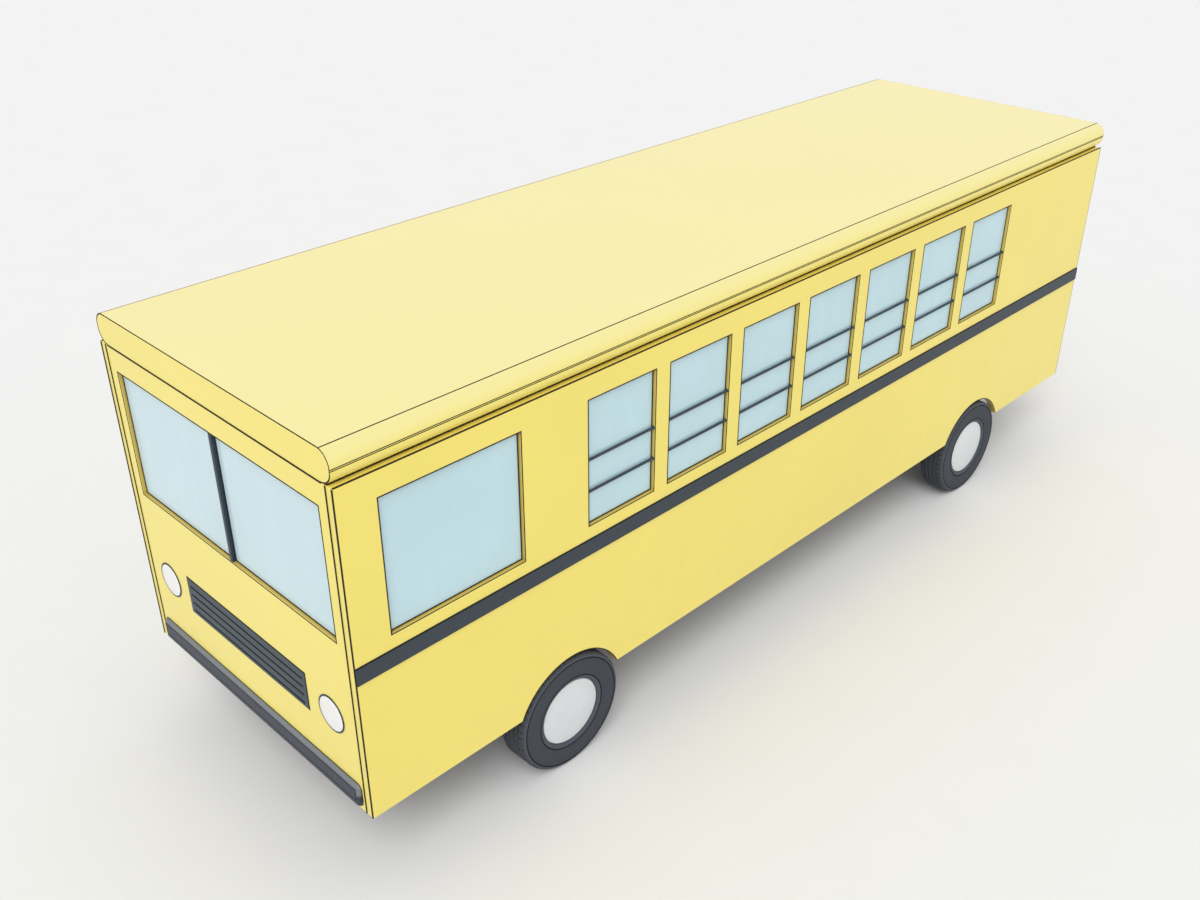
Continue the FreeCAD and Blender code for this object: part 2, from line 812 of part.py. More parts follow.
window_y0 = front_face + D["window_start"]
window_glass = make_body("window_glass")
pane_x = half_width - D["glass_inset"] - D["glass_thickness"]
row_pane = rectangle(window_y0 + gap, sill + gap, window_y0 + window_width - gap, head - gap)
left_pane = pad(window_glass, "YZ", pane_x, D["glass_thickness"], [row_pane])
right_pane = pad(window_glass, "YZ", -half_width + D["glass_inset"], D["glass_thickness"], [row_pane])
repeat(window_glass, [left_pane, right_pane], "Y", window_pitch, D["window_count"])
pad(window_glass, "YZ", pane_x, D["glass_thickness"],
    [rectangle(driver_window_y0 + gap, sill + gap, driver_window_y1 - gap, head - gap)])

pad(window_glass, "XZ", rear_face - D["glass_inset"] - D["glass_thickness"], D["glass_thickness"],
    [rectangle(rear_window_x0 + gap, sill + gap, rear_window_x1 - gap, head - gap),
     rectangle(-rear_window_x1 + gap, sill + gap, -rear_window_x0 - gap, head - gap)])

# Guard bars: two across each passenger window.

guard_bars = make_body("guard_bars")
bar_x = half_width - D["guard_bar_inset"]
bar_ends = []
for side in (-1, 1):
    for share in (D["guard_bar_low_share"], D["guard_bar_high_share"]):
        bar_z = sill + (head - sill) * share
        bar_ends.append(ring(side * bar_x, bar_z, D["guard_bar_radius"], BAR_SIDES))
bar_set = pad(guard_bars, "XZ", window_y0 + gap, window_width - gap * 2, bar_ends)
repeat(guard_bars, [bar_set], "Y", window_pitch, D["window_count"])

# Wheels: a tyre, and a wheel with its brake drum, turning about the part's own X.

def turned_solid(label, outline):
    """A ruled loft along X through flat-sided rounds, each given by its (x, radius)."""
    sections = []
    upright = FreeCAD.Rotation(FreeCAD.Vector(0, 1, 0), 90)
    turn = upright * FreeCAD.Rotation(FreeCAD.Vector(0, 0, 1), 180 / TYRE_SIDES)
    for x, radius in outline:
        section = doc.addObject("Part::RegularPolygon", label + "_section")
        section.Polygon = TYRE_SIDES
        set_size(section, "Circumradius", radius / math.cos(math.pi / TYRE_SIDES))
        section.Placement = FreeCAD.Placement(FreeCAD.Vector(0, 0, 0), turn)
        section.setExpression("Placement.Base.x", as_dim(x).text)
        sections.append(section)
    solid = doc.addObject("Part::Loft", label)
    solid.Sections = sections
    solid.Solid = True
    solid.Ruled = True
    return solid


def tyre(label, x, y, turn):
    back = -D["tyre_width"]
    shoulder = D["tyre_shoulder"]
    recess = D["wheel_recess"]
    body = doc.addObject("Part::Cut", label)
    body.Base = turned_solid(label + "_outside", [
        (0, D["tyre_radius"] - shoulder), (-shoulder, D["tyre_radius"]),
        (back + shoulder, D["tyre_radius"]), (back, D["tyre_radius"] - shoulder)])
    body.Tool = turned_solid(label + "_inside", [
        (0, D["tyre_bead_radius"]), (-recess, D["wheel_radius"]),
        (back + recess, D["wheel_radius"]), (back, D["tyre_bead_radius"])])
    return settle(body, label, (x, y, hub_height), turn=turn)


def wheel(label, x, y, turn):
    body = make_body(label, (x, y, hub_height), turn=turn)
    disc_back = -D["wheel_recess"] - D["wheel_disc"]
    rim_back = -D["tyre_width"] + D["wheel_recess"]
    rim = D["wheel_radius"] - gap
    drum_back = disc_back - D["drum_depth"]
    hub_back = drum_back + D["hub_setback"]
    prism(body, "YZ", rim_back, D["wheel_disc"] + disc_back - rim_back, rim, TYRE_SIDES)
    prism(body, "YZ", rim_back, disc_back - rim_back, rim - D["rim_thickness"], TYRE_SIDES, cut=True)
    prism(body, "YZ", drum_back, D["drum_depth"], D["drum_radius"], DRUM_SIDES)
    prism(body, "YZ", drum_back, D["drum_depth"], D["drum_radius"] - D["drum_wall"], DRUM_SIDES, cut=True)
    prism(body, "YZ", hub_back, disc_back - hub_back, D["hub_radius"], TUBE_SIDES)
    pocket(body, "YZ", hub_back, disc_back - hub_back, circles=[(0, 0, D["spindle_radius"] + gap)])
    return body


for end, axle_y in (("front", front_axle_y), ("rear", rear_axle_y)):
    for side_name, side, turn in (("left", 1, 0), ("right", -1, 180)):
        tyre("%s_tyre_%s" % (end, side_name), side * half_width, axle_y, turn)
        wheel("%s_wheel_%s" % (end, side_name), side * half_width, axle_y, turn)

# Steering knuckles: a yoke round the kingpin, a spindle and the brake's backing plate.

kingpin_x = half_width - D["kingpin_inset"]
wheel_disc_back = D["kingpin_inset"] - D["wheel_recess"] - D["wheel_disc"]
spindle_end = wheel_disc_back - D["spindle_clear"]
backing_x = wheel_disc_back - D["drum_depth"] - D["backing_clear"]
lug_low = D["axle_half_height"] + D["yoke_clear"]
yoke = D["yoke_radius"]
for side_name, side, turn in (("left", 1, 0), ("right", -1, 180)):
    knuckle = make_body("knuckle_" + side_name, (side * kingpin_x, front_axle_y, hub_height), turn=turn)
    pin_length = (lug_low + D["yoke_lug"]) * 2
    pad(knuckle, "XY", -pin_length / 2, pin_length, circles=[(0, 0, D["kingpin_radius"])])
    for lug_z in (lug_low, -lug_low - D["yoke_lug"]):
        prism(knuckle, "XY", lug_z, D["yoke_lug"], yoke, TUBE_SIDES)
        pad(knuckle, "XY", lug_z, D["yoke_lug"], [rectangle(0, -yoke, backing_x, yoke)])
    prism(knuckle, "YZ", backing_x, D["backing_thickness"], D["backing_radius"], DRUM_SIDES)
    pad(knuckle, "YZ", backing_x, spindle_end - backing_x, circles=[(0, 0, D["spindle_radius"])])

# Front axle: a beam of I section with an eye for each kingpin.

front_axle = make_body("front_axle", (0, front_axle_y, hub_height))
tall = D["axle_half_height"]
deep = D["axle_half_width"]
half_web = D["axle_web"] / 2
pad(front_axle, "XZ", -deep, deep * 2, [rectangle(-kingpin_x, -tall, kingpin_x, tall)])
hollow = rectangle(-kingpin_x + D["axle_pocket_end"], -tall + D["axle_flange"],
                   kingpin_x - D["axle_pocket_end"], tall - D["axle_flange"])
pocket(front_axle, "XZ", -deep, deep - half_web, [hollow])
pocket(front_axle, "XZ", half_web, deep - half_web, [hollow])
pad(front_axle, "XY", -tall, tall * 2, [ring(side * kingpin_x, 0, yoke, TUBE_SIDES) for side in (-1, 1)])
pocket(front_axle, "XY", -tall, tall * 2,
       circles=[(side * kingpin_x, 0, D["kingpin_radius"] + gap) for side in (-1, 1)])

# Rear axle: a tube with the differential's flat-sided bulge, nose and cover, backing plates and stubs.

rear_axle = make_body("rear_axle", (0, rear_axle_y, hub_height))
rear_disc_back = half_width - D["wheel_recess"] - D["wheel_disc"]
stub_end = rear_disc_back - D["spindle_clear"]
plate_end = rear_disc_back - D["drum_depth"] - D["backing_clear"]
prism(rear_axle, "YZ", -plate_end, plate_end * 2, D["axle_tube_radius"], TUBE_SIDES)
for side in (-1, 1):
    plate_x = plate_end if side > 0 else -plate_end - D["backing_thickness"]
    stub_x = plate_end if side > 0 else -stub_end
    prism(rear_axle, "YZ", plate_x, D["backing_thickness"], D["backing_radius"], DRUM_SIDES)
    pad(rear_axle, "YZ", stub_x, stub_end - plate_end, circles=[(0, 0, D["spindle_radius"])])
tube_radius = D["axle_tube_radius"]
bulge = [
    (-D["diff_half_length"], -tube_radius), (-D["diff_half_flat"], -D["diff_radius"]),
    (D["diff_half_flat"], -D["diff_radius"]), (D["diff_half_length"], -tube_radius),
    (D["diff_half_length"], tube_radius), (D["diff_half_flat"], D["diff_radius"]),
    (-D["diff_half_flat"], D["diff_radius"]), (-D["diff_half_length"], tube_radius),
]
pad(rear_axle, "XZ", -D["diff_half_depth"], D["diff_half_depth"] * 2, [bulge])
prism(rear_axle, "XZ", 0, D["diff_cover_depth"], D["diff_cover_radius"], TUBE_SIDES)
prism(rear_axle, "XZ", -D["nose_length"], D["nose_length"], D["nose_radius"], TUBE_SIDES)

# Engine block, its cover in the cab, drive shaft, exhaust and fuel tank.

cover_top = sill - D["cover_below_sill"]
cover_wall = D["cover_wall"]
engine_top = cover_top - cover_wall - D["engine_head_room"]
engine = make_body("engine_block")
pad(engine, "XY", D["engine_bottom"], engine_top - D["engine_bottom"],
    [rectangle(-engine_half, engine_y0, engine_half, engine_y1)])

cover = make_body("engine_cover")
cover_half = rail_x0 + D["cover_margin"] + cover_wall
cover_y0 = engine_y0 - D["cover_margin"] - cover_wall
cover_y1 = engine_y1 + D["cover_margin"] + cover_wall
pad(cover, "XY", floor_top, cover_top - floor_top,
    [rectangle(-cover_half, cover_y0, cover_half, cover_y1)])
pocket(cover, "XY", floor_top, cover_top - floor_top - cover_wall,
       [rectangle(-cover_half + cover_wall, cover_y0 + cover_wall,
                  cover_half - cover_wall, cover_y1 - cover_wall)])

shaft = make_body("drive_shaft")
nose_y = rear_axle_y - D["nose_length"]
loft(shaft, "XZ", [(engine_y1 + gap, ring(0, D["shaft_height"], D["shaft_radius"], TUBE_SIDES)),
                   (as_dim(0), ring(0, D["shaft_height"], D["shaft_radius"], TUBE_SIDES)),
                   (nose_y - gap, ring(0, hub_height, D["shaft_radius"], TUBE_SIDES))])

exhaust = make_body("exhaust")
exhaust_z = cross_z0 - gap - D["silencer_radius"]
tail_z = skirt - D["tail_below_skirt"]
exhaust_route = [
    (engine_y1 + gap, exhaust_z), (rear_face - D["tail_drop_start"], exhaust_z),
    (rear_face - D["tail_drop_end"], tail_z), (rear_face - D["tail_setback"], tail_z),
]
loft(exhaust, "XZ", [(y, ring(D["exhaust_side"], z, D["exhaust_radius"], TUBE_SIDES))
                     for y, z in exhaust_route])
prism(exhaust, "XZ", front_face + D["silencer_start"], D["silencer_length"],
      D["silencer_radius"], TUBE_SIDES, D["exhaust_side"], exhaust_z)

tank = make_body("fuel_tank")
tank_y0 = front_face + D["tank_start"]
tank_x0 = -core_half + D["tank_margin"]
tank_x1 = -D["rail_outer"] - gap
pad(tank, "XZ", tank_y0, D["tank_length"],
    [rectangle(tank_x0, D["tank_bottom"], tank_x1, D["tank_bottom"] + D["tank_height"])])
round_edges(tank, D["tank_round"],
            lambda edge: runs_along(edge, 1) and edge.BoundBox.XMax < tank_x1.value - 1)

# Entry steps inside the service door.

steps = make_body("entry_steps")
sheet_t = D["step_sheet"]
riser_x = step_x - sheet_t
nosing_x = -half_width + D["door_thickness"] + D["door_gap"]
step_profile = [
    (step_x, floor_top), (riser_x, floor_top), (riser_x, tread_2),
    (riser_x - D["step_depth"], tread_2), (riser_x - D["step_depth"], tread_1),
    (nosing_x, tread_1), (nosing_x, tread_1 - sheet_t),
    (step_x - D["step_depth"], tread_1 - sheet_t), (step_x - D["step_depth"], tread_2 - sheet_t),
    (step_x, tread_2 - sheet_t),
]
pad(steps, "XZ", door_y0, D["door_width"], [step_profile])
step_wall = [
    (-core_half, tread_1 - sheet_t), (step_x - D["step_depth"], tread_1 - sheet_t),
    (step_x, tread_2 - sheet_t), (step_x, floor_top), (-core_half, floor_top),
]
for wall_y in (door_y0 - sheet_t, door_y1):
    pad(steps, "XZ", wall_y, sheet_t, [step_wall])

# Service door: two leaves that swing out, each with two panes.

leaf_width = (D["door_width"] - D["door_gap"] * 3) / 2
leaf_top = head - D["door_gap"]
frame_w = D["door_frame"]
leaf_windows = [(floor_top - D["door_low_pane"], sill - D["door_mid_rail"]), (sill, leaf_top - frame_w)]


def service_leaf(label, hinge_y, outward):
    """One leaf; its own origin is on its hinge line at the ground."""
    body = make_body(label, (hinge_x, hinge_y, 0))
    near = D["door_gap"] / 2
    far = near + leaf_width
    y0 = near if outward > 0 else -far
    y1 = far if outward > 0 else -near
    outer = D["hinge_offset"]
    pad(body, "YZ", outer, D["door_thickness"], [rectangle(y0, door_bottom, y1, leaf_top)])
    windows = [rectangle(y0 + frame_w, low, y1 - frame_w, high) for low, high in leaf_windows]
    pocket(body, "YZ", outer, D["door_thickness"], windows)
    strap_y0 = 0 if outward > 0 else -D["hinge_strap"]
    strap_y1 = D["hinge_strap"] if outward > 0 else 0
    made = [
        pad(body, "XY", hinge_low, D["hinge_length"],
            [rectangle(D["hinge_clear"], strap_y0, outer, strap_y1)]),
        pad(body, "XY", hinge_low, D["hinge_length"], circles=[(0, 0, D["hinge_radius"])]),
    ]
    repeat(body, made, "Z", hinge_step, 2)
    panes = make_body(label + "_glass", (hinge_x, hinge_y, 0))
    pane_depth = outer + (D["door_thickness"] - D["glass_thickness"]) / 2
    pad(panes, "YZ", pane_depth, D["glass_thickness"],
        [rectangle(y0 + frame_w + gap, low + gap, y1 - frame_w - gap, high - gap)
         for low, high in leaf_windows])


service_leaf("service_door_front", hinge_front_y, 1)
service_leaf("service_door_rear", hinge_rear_y, -1)

# Emergency door: its own origin is on its hinge line at the ground.

exit_near = D["door_gap"] / 2
exit_far = exit_x * 2 - D["door_gap"] * 1.5
exit_low = exit_bottom + D["door_gap"]
exit_top = head - D["door_gap"]
exit_frame = D["exit_frame"]
exit_outer = -D["hinge_offset"]
exit_inner = exit_outer - D["door_thickness"]
emergency = make_body("emergency_door", (exit_hinge_x, exit_hinge_y, 0))
pad(emergency, "XZ", exit_inner, D["door_thickness"], [rectangle(exit_near, exit_low, exit_far, exit_top)])
pane_x0 = exit_near + exit_frame
pane_x1 = exit_far - exit_frame
pane_z1 = exit_top - exit_frame
pocket(emergency, "XZ", exit_inner, D["door_thickness"], [rectangle(pane_x0, sill, pane_x1, pane_z1)])
exit_strap = rectangle(0, exit_outer, D["hinge_strap"], -D["hinge_clear"])
exit_straps = [
    pad(emergency, "XY", exit_hinge_low, D["hinge_length"], [exit_strap]),
    pad(emergency, "XY", exit_hinge_low, D["hinge_length"], circles=[(0, 0, D["hinge_radius"])]),
]
repeat(emergency, exit_straps, "Z", exit_hinge_step, 2)
exit_glass = make_body("emergency_door_glass", (exit_hinge_x, exit_hinge_y, 0))
exit_pane_y = exit_outer - (D["door_thickness"] + D["glass_thickness"]) / 2
pad(exit_glass, "XZ", exit_pane_y, D["glass_thickness"],
    [rectangle(pane_x0 + gap, sill + gap, pane_x1 - gap, pane_z1 - gap)])

# Bench seats in two rows: a leg frame at the aisle, a bracket on the wall, two bars and two pads.

bench_y0 = window_y0 + D["bench_first"]
bench_width = core_half - D["aisle_half"] - D["bench_wall_gap"]
tube = D["seat_tube"]
seat_z = floor_top + D["seat_height"]
pad_z = seat_z + D["cushion_thickness"]
back_z = pad_z + D["backrest_height"]
post_y = bench_y0 + D["seat_depth"] + D["backrest_thickness"] + D["bench_clear"]
post_z = back_z - D["post_short"]
leg_y = bench_y0 + D["bench_leg_front"]
wall_bracket = [
    (bench_y0, seat_z - tube), (post_y + tube, seat_z - tube), (post_y + tube, post_z),
    (post_y, post_z), (post_y, seat_z), (bench_y0, seat_z),
]
leg_frame = [
    (leg_y, floor_top), (leg_y + tube, floor_top), (leg_y + tube, seat_z - tube),
    (post_y, seat_z - tube), (post_y, floor_top), (post_y + tube, floor_top),
    (post_y + tube, post_z), (post_y, post_z), (post_y, seat_z), (bench_y0, seat_z),
    (bench_y0, seat_z - tube), (leg_y, seat_z - tube),
]
seat_pad = rectangle(bench_y0 - D["bench_lip"], seat_z + gap, bench_y0 + D["seat_depth"], pad_z)
back_pad = rectangle(post_y - D["backrest_thickness"] - gap, pad_z + D["cushion_gap"], post_y - gap, back_z)
frames = make_body("seat_frames")
cushions = make_body("seat_cushions")
frame_parts = []
cushion_parts = []
leg_x0 = D["aisle_half"] + D["bench_leg_inset"]
bracket_x1 = core_half - gap
bracket_x0 = bracket_x1 - tube
bar_x0 = leg_x0 + tube + gap
bar_length = bracket_x0 - gap - bar_x0
for side in (-1, 1):
    leg_x = leg_x0 if side > 0 else -leg_x0 - tube
    bracket_x = bracket_x0 if side > 0 else -bracket_x1
    cross_x = bar_x0 if side > 0 else -bar_x0 - bar_length
    cushion_x = D["aisle_half"] if side > 0 else -D["aisle_half"] - bench_width
    frame_parts.append(pad(frames, "YZ", leg_x, tube, [leg_frame]))
    frame_parts.append(pad(frames, "YZ", bracket_x, tube, [wall_bracket]))
    cross_bars = [rectangle(start, seat_z - tube, start + tube, seat_z) for start in (leg_y, post_y - tube)]
    frame_parts.append(pad(frames, "YZ", cross_x, bar_length, cross_bars))
    for outline in (seat_pad, back_pad):
        cushion_parts.append(pad(cushions, "YZ", cushion_x, bench_width, [outline]))
repeat(frames, frame_parts, "Y", window_pitch, D["bench_count"])
repeat(cushions, cushion_parts, "Y", window_pitch, D["bench_count"])

# Driver's seat: a pedestal with a back plate, and two pads.

driver_x = core_half - D["driver_seat_inset"]
driver_x0 = driver_x - D["driver_seat_width"] / 2
driver_y0 = front_face + D["driver_seat_y"]
driver_z = floor_top + D["driver_base_height"]
driver_back_y = driver_y0 + D["driver_pad_depth"] + D["bench_clear"]
driver_plate_y = driver_back_y + D["driver_back_thickness"]
driver_plate_end = driver_plate_y + D["driver_plate"]
base_x0 = driver_x0 + D["driver_base_inset"]
base_width = D["driver_seat_width"] - D["driver_base_inset"] * 2
pad(frames, "XY", floor_top, D["driver_base_height"],
    [rectangle(base_x0, driver_y0 + D["driver_base_front"], base_x0 + base_width, driver_back_y)])
pad(frames, "YZ", base_x0, base_width,
    [[(driver_back_y, driver_z - tube), (driver_plate_end, driver_z - tube),
      (driver_plate_end, driver_z + D["driver_plate_height"]),
      (driver_plate_y, driver_z + D["driver_plate_height"]), (driver_plate_y, driver_z),
      (driver_back_y, driver_z)]])
pad(cushions, "YZ", driver_x0, D["driver_seat_width"],
    [rectangle(driver_y0, driver_z + gap,
               driver_y0 + D["driver_pad_depth"], driver_z + D["driver_pad_thickness"]),
     rectangle(driver_back_y, driver_z + D["driver_back_low"],
               driver_plate_y - gap, driver_z + D["driver_back_high"])])

# Dashboard.

dashboard = make_body("dashboard")
dash_y = inner_front + gap
dash_profile = [
    (dash_y, floor_top + D["dash_bottom"]), (dash_y, sill - D["dash_top"]),
    (dash_y + D["dash_crest_depth"], sill - D["dash_crest_drop"]),
    (dash_y + D["dash_nose_depth"], sill - D["dash_nose_drop"]),
    (dash_y + D["dash_leg_depth"], sill - D["dash_leg_drop"]),
    (dash_y + D["dash_leg_depth"], floor_top + D["dash_bottom"]),
]
pad(dashboard, "YZ", -D["dash_inner"], D["dash_inner"] + core_half - gap, [dash_profile])

# Steering column, leaning to the driver, with a round-rimmed wheel of three spokes.

column = make_body("steering_column",
                   (driver_x, inner_front + D["column_start"], floor_top + D["column_foot"]),
                   axis=(1, 0, 0), turn=-D["column_tilt"])
rim_radius = D["wheel_rim_radius"]
rim_tube = D["wheel_rim_tube"]
rim_z = D["column_length"]
bevel = round(math.tan(math.pi / 8), 6)
levels = [(-1, bevel), (-bevel, 1), (bevel, 1), (1, bevel)]
loft(column, "XY", [(rim_z + rim_tube * up, ring(0, 0, rim_radius + rim_tube * out, DRUM_SIDES))
                    for up, out in levels])
loft(column, "XY", [(rim_z + rim_tube * up, ring(0, 0, rim_radius - rim_tube * out, DRUM_SIDES))
                    for up, out in levels], cut=True)
spoke = D["wheel_spoke_half"]
spoke_low = rim_z - D["wheel_spoke_thickness"] / 2
pad(column, "XY", spoke_low, D["wheel_spoke_thickness"], [rectangle(-rim_radius, -spoke, rim_radius, spoke)])
pad(column, "XY", spoke_low, D["wheel_spoke_thickness"], [rectangle(-spoke, -rim_radius, spoke, 0)])
prism(column, "XY", rim_z - D["horn_thickness"] / 2, D["horn_thickness"], D["horn_radius"], TUBE_SIDES)
prism(column, "XY", 0, rim_z, D["column_radius"], TUBE_SIDES)

doc.recompute()

for item in doc.Objects:
    for state in item.State:
        if state in ("Invalid", "Error"):
            raise RuntimeError("bad state: " + item.Label)

for body in finished:
    shape = body.Shape
    if shape.isNull() or not shape.isValid():
        raise RuntimeError("bad shape: " + body.Label)
    shape.exportStep("parts/" + body.Label + ".step")
    print(body.Label, len(shape.Solids), round(shape.Volume / 1e9, 5))
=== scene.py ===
import json
import math

import bmesh
import bpy
from mathutils import Matrix, Vector

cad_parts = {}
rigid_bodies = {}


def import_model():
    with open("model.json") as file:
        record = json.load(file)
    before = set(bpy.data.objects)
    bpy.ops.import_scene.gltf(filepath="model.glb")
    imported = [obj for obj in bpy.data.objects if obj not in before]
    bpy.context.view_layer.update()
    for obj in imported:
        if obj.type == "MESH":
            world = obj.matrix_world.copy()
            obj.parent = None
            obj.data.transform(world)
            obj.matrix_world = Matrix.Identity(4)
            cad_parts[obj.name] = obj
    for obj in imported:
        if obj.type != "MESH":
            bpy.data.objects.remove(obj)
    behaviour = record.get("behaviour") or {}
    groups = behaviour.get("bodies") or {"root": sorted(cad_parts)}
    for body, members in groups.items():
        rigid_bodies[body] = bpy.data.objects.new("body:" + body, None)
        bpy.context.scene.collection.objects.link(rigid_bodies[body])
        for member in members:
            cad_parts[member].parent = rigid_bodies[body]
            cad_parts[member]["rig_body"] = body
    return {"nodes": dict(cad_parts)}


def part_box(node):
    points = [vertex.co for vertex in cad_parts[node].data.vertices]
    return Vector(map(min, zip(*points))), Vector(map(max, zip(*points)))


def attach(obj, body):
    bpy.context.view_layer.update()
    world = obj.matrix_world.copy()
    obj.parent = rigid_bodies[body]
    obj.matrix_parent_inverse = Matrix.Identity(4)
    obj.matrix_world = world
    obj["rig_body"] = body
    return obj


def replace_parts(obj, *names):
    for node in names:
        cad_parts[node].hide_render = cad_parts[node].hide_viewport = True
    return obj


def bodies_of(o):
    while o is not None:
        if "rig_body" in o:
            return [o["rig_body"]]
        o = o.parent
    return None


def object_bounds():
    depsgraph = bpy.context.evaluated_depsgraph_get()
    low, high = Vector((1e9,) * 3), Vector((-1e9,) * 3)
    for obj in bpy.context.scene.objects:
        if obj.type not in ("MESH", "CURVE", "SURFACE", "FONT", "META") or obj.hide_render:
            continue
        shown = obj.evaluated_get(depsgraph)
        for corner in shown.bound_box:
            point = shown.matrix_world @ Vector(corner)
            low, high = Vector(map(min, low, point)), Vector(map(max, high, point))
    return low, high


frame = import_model()
cad_low, cad_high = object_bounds()
nodes = frame["nodes"]

# Working sizes in metres. Those that the frame holds are read from it.
side_low, side_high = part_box("side_panel_left")
HALF_WIDTH = side_high.x
INNER_WALL = side_low.x
FRONT = side_low.y
REAR = side_high.y
SKIRT = side_low.z
EAVES = side_high.z
WALL = HALF_WIDTH - INNER_WALL
ROOF_TOP = cad_high.z
FLOOR_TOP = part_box("floor_deck")[1].z

# The rounding of the roof's long edges, and of a bumper's rim and corners.
ROOF_EDGE = 0.095
BUMPER_ROUND = 0.026
BUMPER_CORNER = 0.034

# The radius of a lamp's bucket, the width of a joint's bead, and the spacing of the rivets.
BUCKET = 0.105
SEAM = 0.0112
RIVET_PITCH = 0.238

# The thickness of a door leaf, the gap round it, and its hinges.
LEAF = 0.040
DOOR_GAP = 0.005
HINGE_PIN = 0.0045
HINGE_CLEAR = 0.001
HINGE_TALL = 0.090

# Wheels, with the radius of the two deep rings on a tyre's wall.
TYRE_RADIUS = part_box("front_tyre_left")[1].z / 2
ARCH = TYRE_RADIUS + 0.031
AXLE_Y = {}
for end in ("front", "rear"):
    tyre_low, tyre_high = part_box(end + "_tyre_left")
    AXLE_Y[end] = (tyre_low.y + tyre_high.y) / 2
INNER_RING = 0.2765
OUTER_RING = 0.4020

# How far out the springs stand, the height of their seats, and the height of the drive shaft.
SPRING_OUT = 0.4915
SPRING_SEAT = TYRE_RADIUS + 0.055
SHAFT_Z = 0.560

# The driver's place, and the posts between the side windows.
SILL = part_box("windscreen_mullion")[0].z
DRIVER_X = INNER_WALL - 0.508
COLUMN_Y = FRONT + WALL + 0.290
WINDOW_PITCH = 0.714
FIRST_WINDOW = FRONT + 1.756
HALF_POST = 0.067
FIRST_POST = FIRST_WINDOW - HALF_POST
BOWS = 8


class Signal:
    """A value in a material. Arithmetic on it adds the Math nodes that work it out."""

    def __init__(self, board, socket):
        self.board = board
        self.socket = socket

    def maths(self, operation, *others):
        return self.board.maths(operation, self, *others)

    def __add__(self, other):
        return self.maths("ADD", other)

    def __sub__(self, other):
        return self.maths("SUBTRACT", other)

    def __rsub__(self, other):
        return self.board.maths("SUBTRACT", other, self)

    def __mul__(self, other):
        return self.maths("MULTIPLY", other)

    def __truediv__(self, other):
        return self.maths("DIVIDE", other)

    def __rtruediv__(self, other):
        return self.board.maths("DIVIDE", other, self)

    __radd__ = __add__
    __rmul__ = __mul__

    def size(self):
        return self.maths("ABSOLUTE")

    def reach(self, other):
        """How far a point lies from a centre, from how far it lies along two directions."""
        return (self * self + other * other).maths("SQRT")

    def wave(self, pitch):
        """A wave between -1 and 1 that comes back at this pitch."""
        return (self * (2 * math.pi / pitch)).maths("SINE")

    def above(self, edge, soft):
        """0 below the edge and 1 above it, over a soft width."""
        return self.board.add("ShaderNodeMath", {"operation": "MULTIPLY_ADD", "use_clamp": True},
                              [self, 1 / soft, 0.5 - edge / soft])

    def below(self, edge, soft):
        return 1 - self.above(edge, soft)

    def line(self, centre, width, soft):
        """1 on a line of this width, and 0 beside it."""
        return (self - centre).size().below(width / 2, soft)


class Board:
    """The nodes of one material or of the sky."""

    def __init__(self, owner, output):
        owner.use_nodes = True
        self.tree = owner.node_tree
        self.tree.nodes.clear()
        self.output = self.add(output, out=None)
        self.spot = None

    def show(self, surface):
        self.feed(self.output.inputs["Surface"], surface)

    def feed(self, socket, value):
        if isinstance(value, Signal):
            self.tree.links.new(value.socket, socket)
        elif isinstance(value, (tuple, list)) and socket.type == "RGBA":
            socket.default_value = (*value[:3], 1)
        else:
            socket.default_value = value

    def add(self, kind, settings=None, values=(), out=0):
        """A node with its settings made first, then its sockets, by place or by name."""
        node = self.tree.nodes.new(kind)
        for key, value in (settings or {}).items():
            setattr(node, key, value)
        pairs = values.items() if isinstance(values, dict) else enumerate(values)
        for key, value in pairs:
            self.feed(node.inputs[key], value)
        if isinstance(out, (tuple, list)):
            return [Signal(self, node.outputs[key]) for key in out]
        return node if out is None else Signal(self, node.outputs[out])

    def maths(self, operation, *values):
        return self.add("ShaderNodeMath", {"operation": operation}, values)

    def place(self):
        """Where a point lies on the object at rest, as x, y and z in metres."""
        return self.add("ShaderNodeSeparateXYZ", values=[self.vector()], out=(0, 1, 2))

    def vector(self):
        if self.spot is None:
            self.spot = self.add("ShaderNodeTexCoord", out="Object")
        return self.spot

    def stretched(self, x=1, y=1, z=1):
        """The place with each direction scaled, for streaks and grain."""
        return self.add("ShaderNodeVectorMath", {"operation": "MULTIPLY"}, [self.vector(), (x, y, z)])

    def noise(self, scale, detail=3, rough=0.5, vector=None):
        values = {"Vector": vector or self.vector(), "Scale": scale, "Detail": detail, "Roughness": rough}
        return self.add("ShaderNodeTexNoise", values=values, out="Fac")

    def cells(self, scale):
        values = {"Vector": self.vector(), "Scale": scale}
        return self.add("ShaderNodeTexVoronoi", values=values, out="Distance")

    def mix(self, share, first, second):
        """A colour between two colours."""
        return self.add("ShaderNodeMix", {"data_type": "RGBA"}, {0: share, 6: first, 7: second}, out=2)

    def tones(self, share, tint, darker, lighter):
        """A tint that runs from a darker tone to a lighter one."""
        return self.mix(share, shade(tint, darker), shade(tint, lighter))

    def bump(self, height, distance, strength, under=None):
        values = {"Height": height, "Distance": distance, "Strength": strength}
        if under is not None:
            values["Normal"] = under
        return self.add("ShaderNodeBump", values=values)


